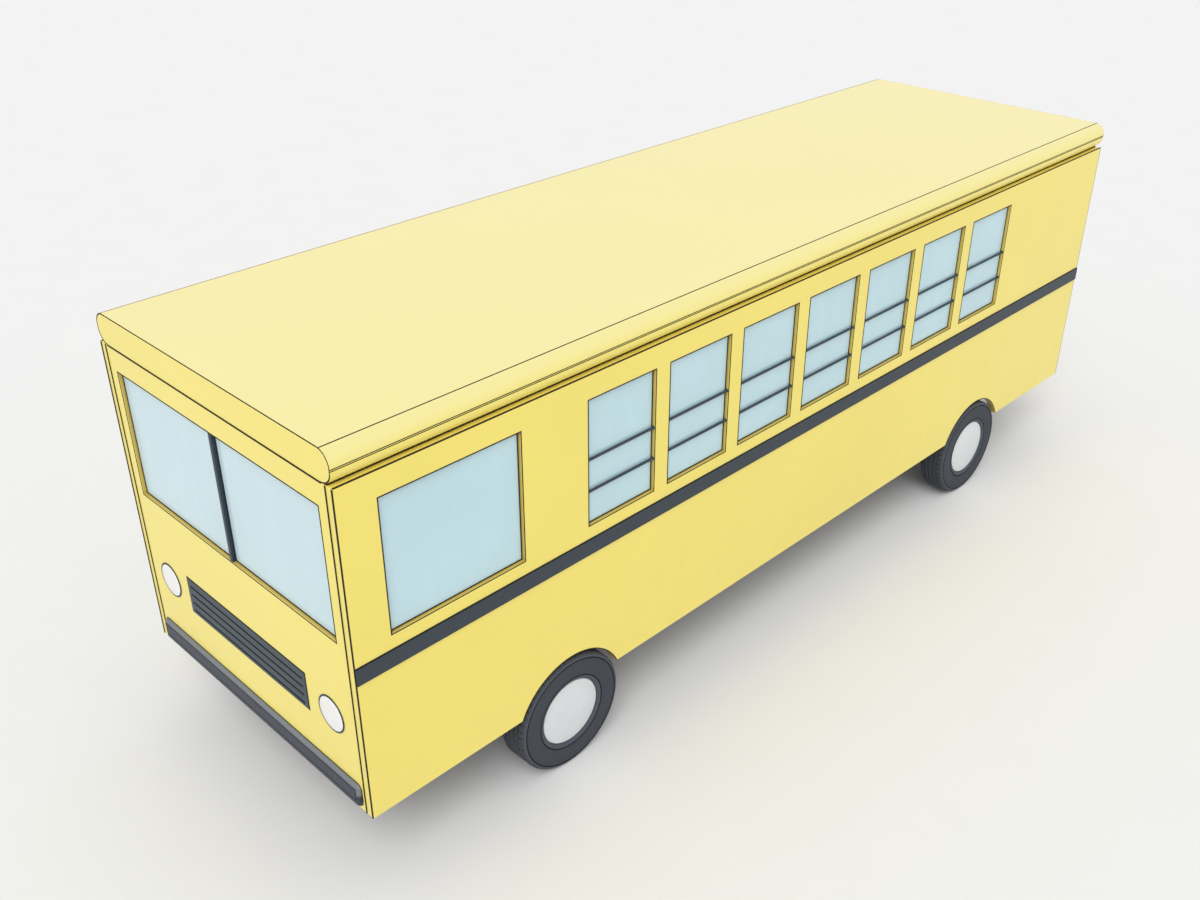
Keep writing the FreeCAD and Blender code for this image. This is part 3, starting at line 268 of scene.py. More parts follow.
class Finish(Board):
    """A material round one Principled shader."""

    def __init__(self, name):
        self.material = bpy.data.materials.new(name)
        super().__init__(self.material, "ShaderNodeOutputMaterial")
        self.surface = self.add("ShaderNodeBsdfPrincipled")
        self.shader = self.surface.socket.node
        self.show(self.surface)

    def set(self, **values):
        """Feeds the shader: base_color feeds Base Color, and so on."""
        for key, value in values.items():
            name = " ".join(word if word == "IOR" else word.capitalize() for word in key.split("_"))
            self.feed(self.shader.inputs[name], value)
        return self.material

    def finished(self, colour, rough, normal, shine=0.5, **others):
        """The material, once its colour, roughness, bumps and gloss are fed."""
        self.set(base_color=colour, roughness=rough, normal=normal, specular_IOR_level=shine)
        return self.set(**others)


def shade(tint, factor):
    """A plain colour made lighter or darker."""
    return tuple(min(1, channel * factor) for channel in tint)


# Finishes

YELLOW = (0.895, 0.745, 0.150)
# Painted light: a lighter copy of the side yellow, for the faces that catch more light.
LIT_YELLOW = (0.920, 0.772, 0.162)
# The colour of the painted highlight over the roof.
ROOF_HIGHLIGHT_YELLOW = (0.90, 0.805, 0.330)
# The colour of the painted shade in the reveals.
REVEAL_SHADE_GOLD = (0.62, 0.43, 0.070)
LINING = (0.60, 0.62, 0.58)
DARK_BLUE_GREY = (0.033, 0.050, 0.064)
BUMPER_GREY = (0.024, 0.032, 0.053)
RAIL_GREY = (0.019, 0.031, 0.046)
# The colour of the painted highlight along a bumper's top edge.
BUMPER_HIGHLIGHT_GREY = (0.212, 0.230, 0.245)
ROAD_FILM = (0.56, 0.48, 0.27)
CRISP = 0.0008


def stippled(board):
    """The stipple of the cabin's lining, and its colour."""
    weave = board.noise(90, 2)
    return weave, board.tones(weave, LINING, 0.93, 1.05)


def body_paint(name, tint, roof=False, door=False):
    """Yellow two-coat paint: dusty low down, painted dark gold in the reveals as painted shade, lined
    towards the cabin.

    On the roof a painted highlight makes it paler over the top and down its rounded edges, with a little
    painted shade on the rounding, and not on its flat ends.
    A door is painted plain on its inner face too.
    """
    board = Finish(name)
    x, y, z = board.place()
    cloud = board.noise(0.8, 4)
    fine = board.noise(11, 5, 0.6)
    paint = board.tones(cloud.above(0.5, 0.5), tint, 0.975, 1.025)
    film = z.below(1.15, 1.1) * fine.above(0.5, 0.5) * 0.10
    paint = board.mix(film, paint, ROAD_FILM)
    inside = x.size().below(INNER_WALL + 0.001, CRISP) * y.size().below(REAR - WALL + 0.001, CRISP)
    inside = inside * z.below(ROOF_TOP - 0.067, CRISP)
    if roof:
        # Painted highlight: the roof's top and rounded edges are painted paler; its flat ends are not.
        roof_highlight = z.above(ROOF_TOP - 0.062, 0.100) * y.size().below(REAR - 0.0012, CRISP)
        paint = board.mix(roof_highlight, paint, board.tones(cloud, ROOF_HIGHLIGHT_YELLOW, 0.985, 1.015))
        # Painted shade: the rounded edges are painted a little darker than the top.
        rounded = x.size().above(HALF_WIDTH - ROOF_EDGE + 0.03, 0.04) * roof_highlight
        paint = board.mix(rounded, paint, shade(ROOF_HIGHLIGHT_YELLOW, 0.93))
    else:
        # Painted shade: faces set in from the outer skin, in reveals and on panel edges, are painted dark
        # gold, but not the ledge under the eaves nor the cabin side.
        depth = (HALF_WIDTH - x.size()).maths("MINIMUM", REAR - y.size())
        reveal_shade = depth.above(0.0040, 0.0015) * (1 - inside) * z.below(EAVES - 0.003, 0.001)
        if door:
            reveal_shade = reveal_shade * depth.below(LEAF - 0.0025, 0.001)
        paint = board.mix(reveal_shade * (0.75 + fine * 0.25), paint, REVEAL_SHADE_GOLD)
    rough = 0.30 + fine * 0.10 + film * 0.8
    rough = rough * (1 - inside) + inside * 0.6
    normal = board.bump(board.noise(210, 2), 0.00015, 0.35)
    colour = board.mix(inside, paint, stippled(board)[1])
    board.set(coat_weight=(1 - inside) * 0.35, coat_roughness=0.12)
    return board.finished(colour, rough, normal, 0.45)


def dark_paint(name, tint=DARK_BLUE_GREY, rivets=False, bumper=False):
    """Dark blue-grey painted steel, a little worn, with flush rivets on a rail.

    A bumper has a painted highlight along the top of its rounded edge, and painted shade in the swage
    round its face.
    """
    board = Finish(name)
    x, y, z = board.place()
    speck = board.noise(38, 4, 0.7)
    colour = board.tones(board.noise(2.2, 4), tint, 0.86, 1.16)
    colour = board.mix(speck.above(0.70, 0.12) * 0.35, colour, shade(tint, 1.9))
    normal = board.bump(board.noise(260, 2), 0.00018, 0.35)
    if bumper:
        low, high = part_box("front_bumper")
        middle = (low.z + high.z) / 2
        height = (high.z - low.z) / 2 - (z - middle).size()
        inset = height.maths("MINIMUM", high.x - x.size())
        # Painted highlight on the upper half of the rounded edge.
        edge = inset.below(BUMPER_ROUND - 0.006, 0.018) * z.above(middle, 0.02)
        colour = board.mix(edge * 0.85, colour, BUMPER_HIGHLIGHT_GREY)
        # Painted shade: the swage round the face is painted near black.
        swage = inset.line(BUMPER_ROUND + 0.0035, 0.0095, 0.002)
        colour = board.mix(swage * 0.95, colour, shade(tint, 0.10))
    if rivets:
        low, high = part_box("rub_rails")
        along = ((y / RIVET_PITCH).maths("FRACT") - 0.5) * RIVET_PITCH
        across = (z - (low.z + high.z) / 2).size() - (high.z - low.z) * 0.32
        reach = along.reach(across)
        head = reach.below(0.0055, 0.001)
        edge = reach.line(0.0058, 0.0022, 0.0008)
        colour = board.mix(head * 0.5, colour, shade(tint, 1.7))
        colour = board.mix(edge * 0.8, colour, shade(tint, 0.35))
        normal = board.bump(head - edge, 0.0006, 0.8, normal)
    return board.finished(colour, 0.42 + speck * 0.16, normal)


def pane_glass(name, tint, see_through):
    """Pale blue tinted glass with a faint film of dust."""
    board = Finish(name)
    film = board.noise(1.6, 5, 0.6)
    streak = board.noise(14, 3, 0.5, board.stretched(z=0.12))
    dust = film.above(0.56, 0.4) * 0.22 + streak.above(0.62, 0.3) * 0.08
    colour = board.mix(dust, tint, shade(tint, 1.12))
    board.set(base_color=colour, roughness=0.05 + dust * 0.16, alpha=(1 - see_through) + dust * 0.12)
    return board.set(IOR=1.5, specular_IOR_level=0.6)


def plain_lining(name):
    """Pale lining board with a light stipple."""
    board = Finish(name)
    weave, colour = stippled(board)
    return board.finished(colour, 0.6 + weave * 0.1, board.bump(weave, 0.0003, 0.3))


def leaf_spring_steel(name):
    """Black spring steel with the joints between its leaves."""
    board = Finish(name)
    _, y, z = board.place()
    half_span = 0.6
    camber = 0.075
    leaf = 0.009
    along = (y.size() - (AXLE_Y["rear"] - AXLE_Y["front"]) / 2) / half_span
    depth = z - SPRING_SEAT - along * along * camber
    joints = depth.wave(leaf).below(-0.75, 0.3)
    pit = board.noise(70, 4, 0.7)
    colour = board.tones(pit, (0.034, 0.033, 0.035), 0.8, 1.4)
    colour = board.mix(joints * 0.8, colour, (0.006, 0.006, 0.006))
    colour = board.mix(board.noise(6, 4).above(0.6, 0.2) * 0.35, colour, (0.11, 0.06, 0.035))
    normal = board.bump(1 - joints, 0.002, 0.7)
    return board.finished(colour, 0.6 + pit * 0.2, normal)


def rubber(name, tint):
    """Soft black rubber with a fine grain."""
    board = Finish(name)
    grain = board.noise(60, 4, 0.6)
    normal = board.bump(board.noise(420, 2), 0.0002, 0.4)
    colour = board.tones(grain, tint, 0.75, 1.5)
    return board.finished(colour, 0.62 + grain * 0.16, normal, 0.35)


def tyre_rubber(name, centre_y):
    """Dark rubber with faint rings on its side, a painted highlight on its shoulders and foot, painted
    shade in its two deep rings, and dust low in the tread.
    """
    board = Finish(name)
    _, y, z = board.place()
    radius = (y - centre_y).reach(z - TYRE_RADIUS)
    grain = board.noise(75, 4, 0.6)
    tint = (0.046, 0.053, 0.066)
    colour = board.tones(grain, tint, 0.82, 1.18)
    wall = radius.below(TYRE_RADIUS - 0.03, 0.01)
    tread = radius.above(TYRE_RADIUS - 0.014, 0.008)
    shoulder = radius.above(TYRE_RADIUS - 0.0285, 0.003) * (1 - tread)
    foot = radius.below(INNER_RING - 0.003, 0.003)
    # Painted highlight: the shoulders and the foot by the rim are painted lighter.
    colour = board.mix((shoulder + foot) * 0.8, colour, shade(tint, 1.65))
    # Painted shade: the two deep rings are painted near black.
    ring_shade = radius.line(INNER_RING, 0.0100, 0.002) + radius.line(OUTER_RING, 0.0105, 0.002)
    colour = board.mix(ring_shade * 0.95, colour, shade(tint, 0.08))
    dust = radius.above(TYRE_RADIUS - 0.012, 0.016) * (1 - grain.above(0.5, 0.4)) * 0.2
    colour = board.mix(dust, colour, (0.16, 0.15, 0.14))
    normal = board.bump(board.noise(380, 2), 0.00025, 0.4)
    normal = board.bump((radius * 900).maths("SINE") * wall, 0.00012, 0.25, normal)
    return board.finished(colour, 0.66 + grain * 0.14, normal, 0.3)


def wheel_paint(name, centre_y):
    """Pale silver-grey paint with a faint turned grain about the hub."""
    board = Finish(name)
    _, y, z = board.place()
    radius = (y - centre_y).reach(z - TYRE_RADIUS)
    cloud = board.noise(7, 5, 0.6)
    colour = board.tones(cloud, (0.70, 0.73, 0.755), 0.95, 1.05)
    grime = radius.above(0.205, 0.06) * cloud.above(0.5, 0.3) * 0.22
    colour = board.mix(grime, colour, (0.36, 0.35, 0.33))
    normal = board.bump((radius * 1600).maths("SINE"), 0.00006, 0.3)
    return board.finished(colour, 0.36 + cloud * 0.14, normal, metallic=0.1)


def bare_metal(name, tint, rough):
    """Brushed steel, its grain running upright."""
    board = Finish(name)
    grain = board.noise(45, 4, 0.6, board.stretched(z=6))
    normal = board.bump(board.noise(300, 2), 0.0001, 0.3)
    colour = board.tones(grain, tint, 0.85, 1.12)
    return board.finished(colour, rough + grain * 0.15, normal, metallic=1.0)


def under_iron(name, tint, rust):
    """Chassis black or cast iron with dust and a little rust."""
    board = Finish(name)
    pit = board.noise(70, 4, 0.7)
    colour = board.tones(pit, tint, 0.75, 1.3)
    colour = board.mix(board.noise(5, 5, 0.65).above(0.60, 0.2) * rust, colour, (0.115, 0.062, 0.034))
    colour = board.mix(board.noise(2.5, 3).above(0.5, 0.6) * 0.25, colour, (0.16, 0.145, 0.125))
    normal = board.bump(pit, 0.0007, 0.35)
    return board.finished(colour, 0.6 + pit * 0.25, normal, 0.35)


def moulded(name, tint, rough, grain_scale=330):
    """Moulded plastic with a leather-like grain."""
    board = Finish(name)
    cloud = board.noise(6, 3)
    normal = board.bump(board.cells(grain_scale), 0.00025, 0.4)
    colour = board.tones(cloud, tint, 0.88, 1.12)
    return board.finished(colour, rough + cloud * 0.12, normal, 0.4)


def seat_vinyl(name):
    """Dark green upholstery vinyl: pebbled grain, worn paler where people sit."""
    board = Finish(name)
    crease = board.noise(16, 5, 0.65)
    tint = (0.035, 0.080, 0.052)
    colour = board.tones(crease, tint, 0.8, 1.25)
    colour = board.mix(board.noise(2.3, 3).above(0.55, 0.35) * 0.3, colour, shade(tint, 1.9))
    normal = board.bump(crease, 0.002, 0.25)
    normal = board.bump(board.cells(260), 0.00045, 0.5, normal)
    return board.finished(colour, 0.46 + crease * 0.16, normal, 0.45)


def floor_rubber(name):
    """Ribbed black floor covering, scuffed grey in the aisle."""
    board = Finish(name)
    x, _, _ = board.place()
    cloud = board.noise(3.5, 5, 0.65)
    aisle = x.size().below(0.20, 0.25)
    colour = board.tones(cloud, (0.055, 0.057, 0.062), 0.8, 1.25)
    colour = board.mix(aisle * cloud.above(0.5, 0.4) * 0.5, colour, (0.15, 0.145, 0.14))
    normal = board.bump(x.wave(0.022).above(0, 0.5), 0.0012, 0.6)
    return board.finished(colour, 0.6 + cloud * 0.2, normal)


def lamp_lens(name, tint):
    """Moulded lens with upright flutes crossed by a few level bars."""
    board = Finish(name)
    x, _, z = board.place()
    flutes = x.wave(0.014)
    normal = board.bump(flutes + z.wave(0.045) * 0.6, 0.0006, 0.6)
    cloud = board.noise(14, 3)
    colour = board.tones(cloud, tint, 0.97, 1.04)
    colour = board.mix(flutes.above(0.86, 0.2) * 0.10, colour, shade(tint, 0.72))
    return board.finished(colour, 0.10 + cloud * 0.06, normal, coat_weight=0.6, coat_roughness=0.04)


side_yellow = body_paint("side_yellow", YELLOW)
# The front panel and the roof take the lighter copy of the yellow: painted light.
front_lit_yellow = body_paint("front_lit_yellow", LIT_YELLOW)
roof_yellow = body_paint("roof_yellow", LIT_YELLOW, roof=True)
door_yellow = body_paint("door_yellow", YELLOW, door=True)
bumper_dark = dark_paint("bumper_dark", BUMPER_GREY, bumper=True)
grille_dark = dark_paint("grille_dark")
rail_dark = dark_paint("rail_dark", RAIL_GREY, rivets=True)
bar_dark = dark_paint("bar_dark", (0.020, 0.036, 0.055))
pane_blue = pane_glass("pane_blue", (0.57, 0.785, 0.85), 0.13)
screen_blue = pane_glass("screen_blue", (0.635, 0.805, 0.86), 0.10)
seal_rubber = rubber("seal_rubber", (0.018, 0.018, 0.020))
seam_sealer = rubber("seam_sealer", (0.015, 0.010, 0.003))
chassis_black = under_iron("chassis_black", (0.030, 0.030, 0.034), 0.2)
cast_iron = under_iron("cast_iron", (0.060, 0.058, 0.058), 0.45)
leaf_steel = leaf_spring_steel("leaf_steel")
lining_paint = plain_lining("lining_paint")
tank_black = under_iron("tank_black", (0.040, 0.041, 0.046), 0.1)
seat_black = moulded("seat_black", (0.045, 0.047, 0.052), 0.4, 600)
vinyl_green = seat_vinyl("vinyl_green")
deck_rubber = floor_rubber("deck_rubber")
dash_grey = moulded("dash_grey", (0.075, 0.078, 0.085), 0.55)
cover_grey = moulded("cover_grey", (0.12, 0.12, 0.13), 0.6)
black_plastic = moulded("black_plastic", (0.022, 0.022, 0.024), 0.35)
bright_steel = bare_metal("bright_steel", (0.62, 0.63, 0.65), 0.22)
dull_steel = bare_metal("dull_steel", (0.32, 0.32, 0.33), 0.42)
hinge_yellow = dark_paint("hinge_yellow", (0.66, 0.55, 0.13))
head_lens = lamp_lens("head_lens", (0.88, 0.875, 0.86))
tail_lens = lamp_lens("tail_lens", (0.50, 0.012, 0.014))
dial_white = moulded("dial_white", (0.70, 0.70, 0.66), 0.4)
tyre_finish = {end: tyre_rubber("tyre_rubber_" + end, y) for end, y in AXLE_Y.items()}
wheel_finish = {end: wheel_paint("wheel_paint_" + end, y) for end, y in AXLE_Y.items()}


# Mesh tools

def body_of(name):
    """The body that a CAD node rides on."""
    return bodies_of(nodes[name])[0]


def put(name, data):
    """A new object in the scene."""
    thing = bpy.data.objects.new(name, data)
    bpy.context.scene.collection.objects.link(thing)
    return thing


def mesh_data(name, mesh):
    """A bmesh written into mesh data of its own."""
    data = bpy.data.meshes.new(name)
    mesh.to_mesh(data)
    mesh.free()
    return data


def node_mesh(node):
    """A CAD node's shape with its faces joined at their corners."""
    mesh = bmesh.new()
    mesh.from_mesh(nodes[node].data)
    bmesh.ops.remove_doubles(mesh, verts=mesh.verts, dist=0.00005)
    return mesh


def piece(name, mesh, material, body, smooth=None, bevel=None):
    """An object of the bus from a bmesh, riding on its body. smooth is the angle that stays soft."""
    bmesh.ops.recalc_face_normals(mesh, faces=mesh.faces)
    data = mesh_data(name, mesh)
    data.materials.append(material)
    thing = put(name, data)
    if smooth is not None:
        data.polygons.foreach_set("use_smooth", [True] * len(data.polygons))
        data.set_sharp_from_angle(angle=math.radians(smooth))
    if bevel:
        rounding = thing.modifiers.new("edge_round", "BEVEL")
        rounding.width = bevel
        rounding.segments = 2
        rounding.limit_method = "ANGLE"
        rounding.angle_limit = math.radians(32)
        even = thing.modifiers.new("even_shading", "WEIGHTED_NORMAL")
        even.weight = 80
    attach(thing, body)
    return thing


def stand_in(name, mesh, node, material, smooth=None, bevel=None):
    """A finished piece that replaces a CAD node on its body."""
    thing = piece(name, mesh, material, body_of(node), smooth, bevel)
    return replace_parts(thing, node)


def refine(node, material, bevel=None, smooth=30):
    """The shape of a CAD node with its edges rounded, in place of it."""
    mesh = node_mesh(node)
    bmesh.ops.dissolve_limit(mesh, angle_limit=math.radians(0.4), verts=mesh.verts, edges=mesh.edges)
    return stand_in(node + "_finished", mesh, node, material, smooth, bevel)


def dress(node, material):
    """A CAD node keeps its shape and gets its finish."""
    materials = nodes[node].data.materials
    materials.clear()
    materials.append(material)


def solids(node):
    """The box of each separate solid of a CAD node, in order of y, x and z."""
    mesh = node_mesh(node)
    left = set(mesh.verts)
    boxes = []
    while left:
        group = [left.pop()]
        low = group[0].co.copy()
        high = group[0].co.copy()
        while group:
            vertex = group.pop()
            low = Vector(map(min, low, vertex.co))
            high = Vector(map(max, high, vertex.co))
            for edge in vertex.link_edges:
                other = edge.other_vert(vertex)
                if other in left:
                    left.remove(other)
                    group.append(other)
        boxes.append((low, high))
    mesh.free()
    return sorted(boxes, key=lambda box: [round(box[0][axis], 3) for axis in (1, 0, 2)])


def join_rows(mesh, rows, looped=False):
    """Faces between each ring of points and the next, and back to the first if looped.

    A ring may be one point, where a turned shape closes on its axis.
    """
    for here, there in zip(rows, rows[1:] + rows[:1] if looped else rows[1:]):
        count = max(len(here), len(there))
        for k in range(count):
            following = (k + 1) % count
            corners = (here[k % len(here)], here[following % len(here)],
                       there[following % len(there)], there[k % len(there)])
            mesh.faces.new(dict.fromkeys(corners))


def close_ends(mesh, rows):
    mesh.faces.new(rows[0])
    mesh.faces.new(rows[-1][::-1])


def arc(middle, height, radius, first, last, steps):
    """Points (across, up) round a centre, from one angle to another in degrees."""
    turns = [math.radians(first + (last - first) * step / steps) for step in range(steps + 1)]
    return [(middle + radius * math.cos(turn), height + radius * math.sin(turn)) for turn in turns]


def rounded_corner(radius, steps):
    """Points of a rounded corner, each as how far it lies in from the two faces that meet there."""
    return [(radius - across, radius - up) for across, up in arc(0, 0, radius, 0, 90, steps)]


def at_y(points, y):
    """Points (x, z) set in a plane across the bus."""
    return [(x, y, z) for x, z in points]


def sweep(mesh, path, profile, closed=False, up=(0, 0, 1)):
    """A profile of (across, up) points carried along a path, with mitred corners."""
    up = Vector(up)
    path = [Vector(point) for point in path]
    count = len(path)
    rows = []
    for index, point in enumerate(path):
        before = path[index - 1] if index > 0 or closed else None
        after = path[(index + 1) % count] if index < count - 1 or closed else None
        into = (point - before).normalized() if before is not None else (after - point).normalized()
        away = (after - point).normalized() if after is not None else into
        along = (into + away).normalized()
        side = along.cross(up)
        if side.length < 0.001:
            side = along.cross(Vector((1, 0, 0)))
        side.normalize()
        lift = side.cross(along)
        stretch = 1 / max(0.3, along.dot(into))
        bend = away - into
        in_side = abs(bend.dot(side)) >= abs(bend.dot(lift))
        row = []
        for across, height in profile:
            reach = across * (stretch if in_side else 1)
            rise = height * (1 if in_side else stretch)
            row.append(mesh.verts.new(point + side * reach + lift * rise))
        rows.append(row)
    join_rows(mesh, rows, closed)
    if not closed:
        close_ends(mesh, rows)


def round_bar(radius, sides=12):
    turn = 2 * math.pi / sides
    return [(radius * math.cos(turn * k), radius * math.sin(turn * k)) for k in range(sides)]


def half_round(width, height, sides=5):
    """A low bead: flat underneath and domed on top."""
    turn = math.pi / sides
    return [(-width / 2 * math.cos(turn * k), height * math.sin(turn * k)) for k in range(sides + 1)]


def flat_strip(width, thickness):
    half = width / 2
    return [(-half, 0), (half, 0), (half, thickness), (-half, thickness)]


def edge_loop(mesh, box, out, thin, level, sign, bead):
    """A bead round a box, this far outside its edges, in a plane that faces along its thin direction."""
    low, high = box
    wide = 1 - thin
    corners = []
    for a, z in ((low[wide] - out, low.z - out), (high[wide] + out, low.z - out),
                 (high[wide] + out, high.z + out), (low[wide] - out, high.z + out)):
        spot = Vector((0, 0, z))
        spot[thin] = level
        spot[wide] = a
        corners.append(spot)
    normal = Vector((0, 0, 0))
    normal[thin] = sign
    sweep(mesh, corners, bead, closed=True, up=normal)


def lathe(mesh, outline, centre, axis, columns=48):
    """Turns (along the axis, radius) points about the axis.

    columns is a count, or a list of (turn, depth) with how far each column is cut in; a point
    may have a third value, the share of that cut which it takes.
    """
    axis = Vector(axis).normalized()
    first = Vector((0, 0, 1)) if abs(axis.z) < 0.5 else Vector((0, 1, 0))
    first = (first - axis * first.dot(axis)).normalized()
    second = axis.cross(first)
    if isinstance(columns, int):
        columns = [(2 * math.pi * k / columns, 0) for k in range(columns)]
    rows = []
    for along, radius, *cut in outline:
        spot = Vector(centre) + axis * along
        if radius < 1e-6:
            rows.append([mesh.verts.new(spot)])
            continue
        row = []
        for turn, depth in columns:
            spoke = first * math.cos(turn) + second * math.sin(turn)
            row.append(mesh.verts.new(spot + spoke * (radius - depth * sum(cut))))
        rows.append(row)
    join_rows(mesh, rows)


def block(mesh, low, high, matrix=None):
    """A box between two corners, moved by a matrix if one is given."""
    low = Vector(low)
    high = Vector(high)
    size = high - low
    for vertex in bmesh.ops.create_cube(mesh, size=1)["verts"]:
        vertex.co = Vector([part * share for part, share in zip(vertex.co, size)]) + (low + high) / 2
        if matrix is not None:
            vertex.co = matrix @ vertex.co


# Shell: painted panels and roof, and the sealer in their joints.

def paint_shell():
    for name in ("side_panel_left", "side_panel_right", "rear_panel"):
        refine(name, side_yellow, 0.0022)
    refine("front_panel", front_lit_yellow, 0.0022)
    refine("roof", roof_yellow, 0.0015)
    dress("floor_deck", deck_rubber)


def seal_joints():
    """Dark sealer in the joints of the end panels, side panels and roof, and along the panels' edges."""
    mesh = bmesh.new()
    bead = round_bar(SEAM / 2, 8)
    ledge = HALF_WIDTH - ROOF_EDGE
    outer = HALF_WIDTH - 0.0045
    for end in (FRONT, REAR):
        for side in (-1, 1):
            for x in (side * INNER_WALL, side * outer):
                sweep(mesh, [(x, end, SKIRT + 0.003), (x, end, EAVES - 0.002)], bead)
        sweep(mesh, [(-ledge, end, EAVES), (ledge, end, EAVES)], bead)
    for x in (-outer, outer):
        sweep(mesh, [(x, FRONT + 0.003, EAVES), (x, REAR - 0.003, EAVES)], bead)
    piece("joint_sealer", mesh, seam_sealer, "coach", smooth=40)


def fill_eaves():
    """A wedge of sealer between the top of each side wall and the roof's rounded underside."""
    mesh = bmesh.new()
    start = HALF_WIDTH - ROOF_EDGE
    outer = INNER_WALL + 0.012
    section = [(start - 0.005, EAVES - 0.0012), (INNER_WALL - 0.001, EAVES - 0.0012),
               (INNER_WALL, EAVES), (outer, EAVES)]
    for step in range(6):
        x = outer + (start - outer) * step / 5
        rise = ROOF_EDGE - math.sqrt(ROOF_EDGE ** 2 - (x - start) ** 2)
        section.append((x, EAVES + rise + 0.0006))
    section.append((start - 0.005, EAVES + 0.0005))
    for side in (-1, 1):
        rows = []
        for y in (FRONT + 0.004, REAR - 0.004):
            rows.append([mesh.verts.new((side * x, y, z)) for x, z in section])
        join_rows(mesh, rows)
        close_ends(mesh, rows)
    piece("eaves_sealer", mesh, seam_sealer, "coach")


def seal_fittings():
    """A fine bead round the grille and both bumpers, along the rub rails, and round each wheel arch."""
    mesh = bmesh.new()
    bead = half_round(0.0075, 0.0022)
    out = 0.0032
    edge_loop(mesh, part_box("grille"), out, 1, FRONT, -1, bead)
    for node, level, outward in (("front_bumper", FRONT, -1), ("rear_bumper", REAR, 1)):
        outline = bumper_outline(*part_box(node), -out)
        sweep(mesh, at_y(outline, level), bead, closed=True, up=(0, outward, 0))
    for low, high in solids("rub_rails"):
        side = 1 if low.x > 0 else -1
        ends = (max(low.y, FRONT + 0.002), min(high.y, REAR - 0.002))
        for z in (low.z - out, high.z + out):
            sweep(mesh, [(side * HALF_WIDTH, y, z) for y in ends], bead, up=(side, 0, 0))
    radius = ARCH + out
    dip = math.degrees(math.asin((TYRE_RADIUS - SKIRT) / radius))
    for side in (-1, 1):
        for axle in AXLE_Y.values():
            round_arch = arc(axle, TYRE_RADIUS, radius, -dip, 180 + dip, 36)
            sweep(mesh, [(side * HALF_WIDTH, y, z) for y, z in round_arch], bead, up=(side, 0, 0))
    piece("fitting_sealer", mesh, seam_sealer, "coach", smooth=50)


def seal_roof():
    """A low bead of sealer along each seam of the roof's rounded edges, and round its two flat ends."""
    mesh = bmesh.new()
    rise = 0.0010
    broad = half_round(SEAM * 0.85, rise)
    bead = half_round(0.0081, rise)
    slim = half_round(0.0062, rise)
    turn = math.radians(10.5)
    inward = ROOF_EDGE * (1 - math.sin(turn))
    drop = ROOF_EDGE * (1 - math.cos(turn))
    waist = (ROOF_TOP + EAVES) / 2
    half_gap = 0.0050
    lines = [(HALF_WIDTH - inward, ROOF_TOP - drop, turn, bead),
             (HALF_WIDTH, waist + half_gap, math.pi / 2, slim),
             (HALF_WIDTH, waist - half_gap, math.pi / 2, slim)]
    for side in (-1, 1):
        for x, z, tilt, shape in lines:
            away = (side * math.sin(tilt), 0, math.cos(tilt))
            sweep(mesh, [(side * x, y, z) for y in (FRONT + 0.001, REAR - 0.001)], shape, up=away)
    radius = ROOF_EDGE - SEAM * 0.43
    centre = HALF_WIDTH - ROOF_EDGE
    half = arc(centre, EAVES + ROOF_EDGE, radius, -90, -10, 8)
    half += arc(centre, ROOF_TOP - ROOF_EDGE, radius, 0, 90, 9)
    outline = half + [(-x, z) for x, z in half[::-1]]
    for end, outward in ((FRONT, -1), (REAR, 1)):
        sweep(mesh, at_y(outline, end), broad, up=(0, outward, 0))
    piece("roof_seams", mesh, seam_sealer, "coach", smooth=60)


def seal_windows():
    """A rubber gasket round every pane and a slim edge round its opening, on the pane's own body."""
    panes = {
        "window": ["window_glass", "windscreen_glass"],
        "front_leaf": ["service_door_front_glass"],
        "rear_leaf": ["service_door_rear_glass"],
        "rear_exit": ["emergency_door_glass"],
    }
    gasket_width = 0.0095
    gasket = half_round(gasket_width, 0.004)
    trim = half_round(0.0085, 0.0022)
    trim_out = 0.0035
    for name, glass in panes.items():
        mesh = bmesh.new()
        for node in glass:
            for low, high in solids(node):
                thin = 0 if high.x - low.x < high.y - low.y else 1
                edge_loop(mesh, (low, high), -gasket_width / 2, thin, low[thin], -1, gasket)
                edge_loop(mesh, (low, high), -gasket_width / 2, thin, high[thin], 1, gasket)
                outward = 1 if low[thin] > 0 else -1
                level = outward * (HALF_WIDTH, REAR)[thin]
                if node != "windscreen_glass":
                    edge_loop(mesh, (low, high), trim_out, thin, level, outward, trim)
            dress(node, screen_blue if node == "windscreen_glass" else pane_blue)
        piece(name + "_gaskets", mesh, seal_rubber, body_of(glass[0]), smooth=50)
    mesh = bmesh.new()
    edge_loop(mesh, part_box("windscreen_glass"), trim_out, 1, FRONT, -1, trim)
    piece("windscreen_edge", mesh, seal_rubber, "coach", smooth=50)


def fit_guard_bars():
    """Round bars across the side windows, with a weld collar at each end."""
    mesh = bmesh.new()
    for low, high in solids("guard_bars"):
        radius = (high.z - low.z) / 2
        start = (low + high) / 2
        start.y = low.y
        length = high.y - low.y
        collar = radius * 1.28
        outline = [(0, 0), (0, collar), (0.004, collar), (0.007, radius), (length - 0.007, radius),
                   (length - 0.004, collar), (length, collar), (length, 0)]
        lathe(mesh, outline, start, (0, 1, 0), 16)
    stand_in("window_guard_bars", mesh, "guard_bars", bar_dark, smooth=40)


# Front and rear: grille, lamps, bumpers and rub rails.

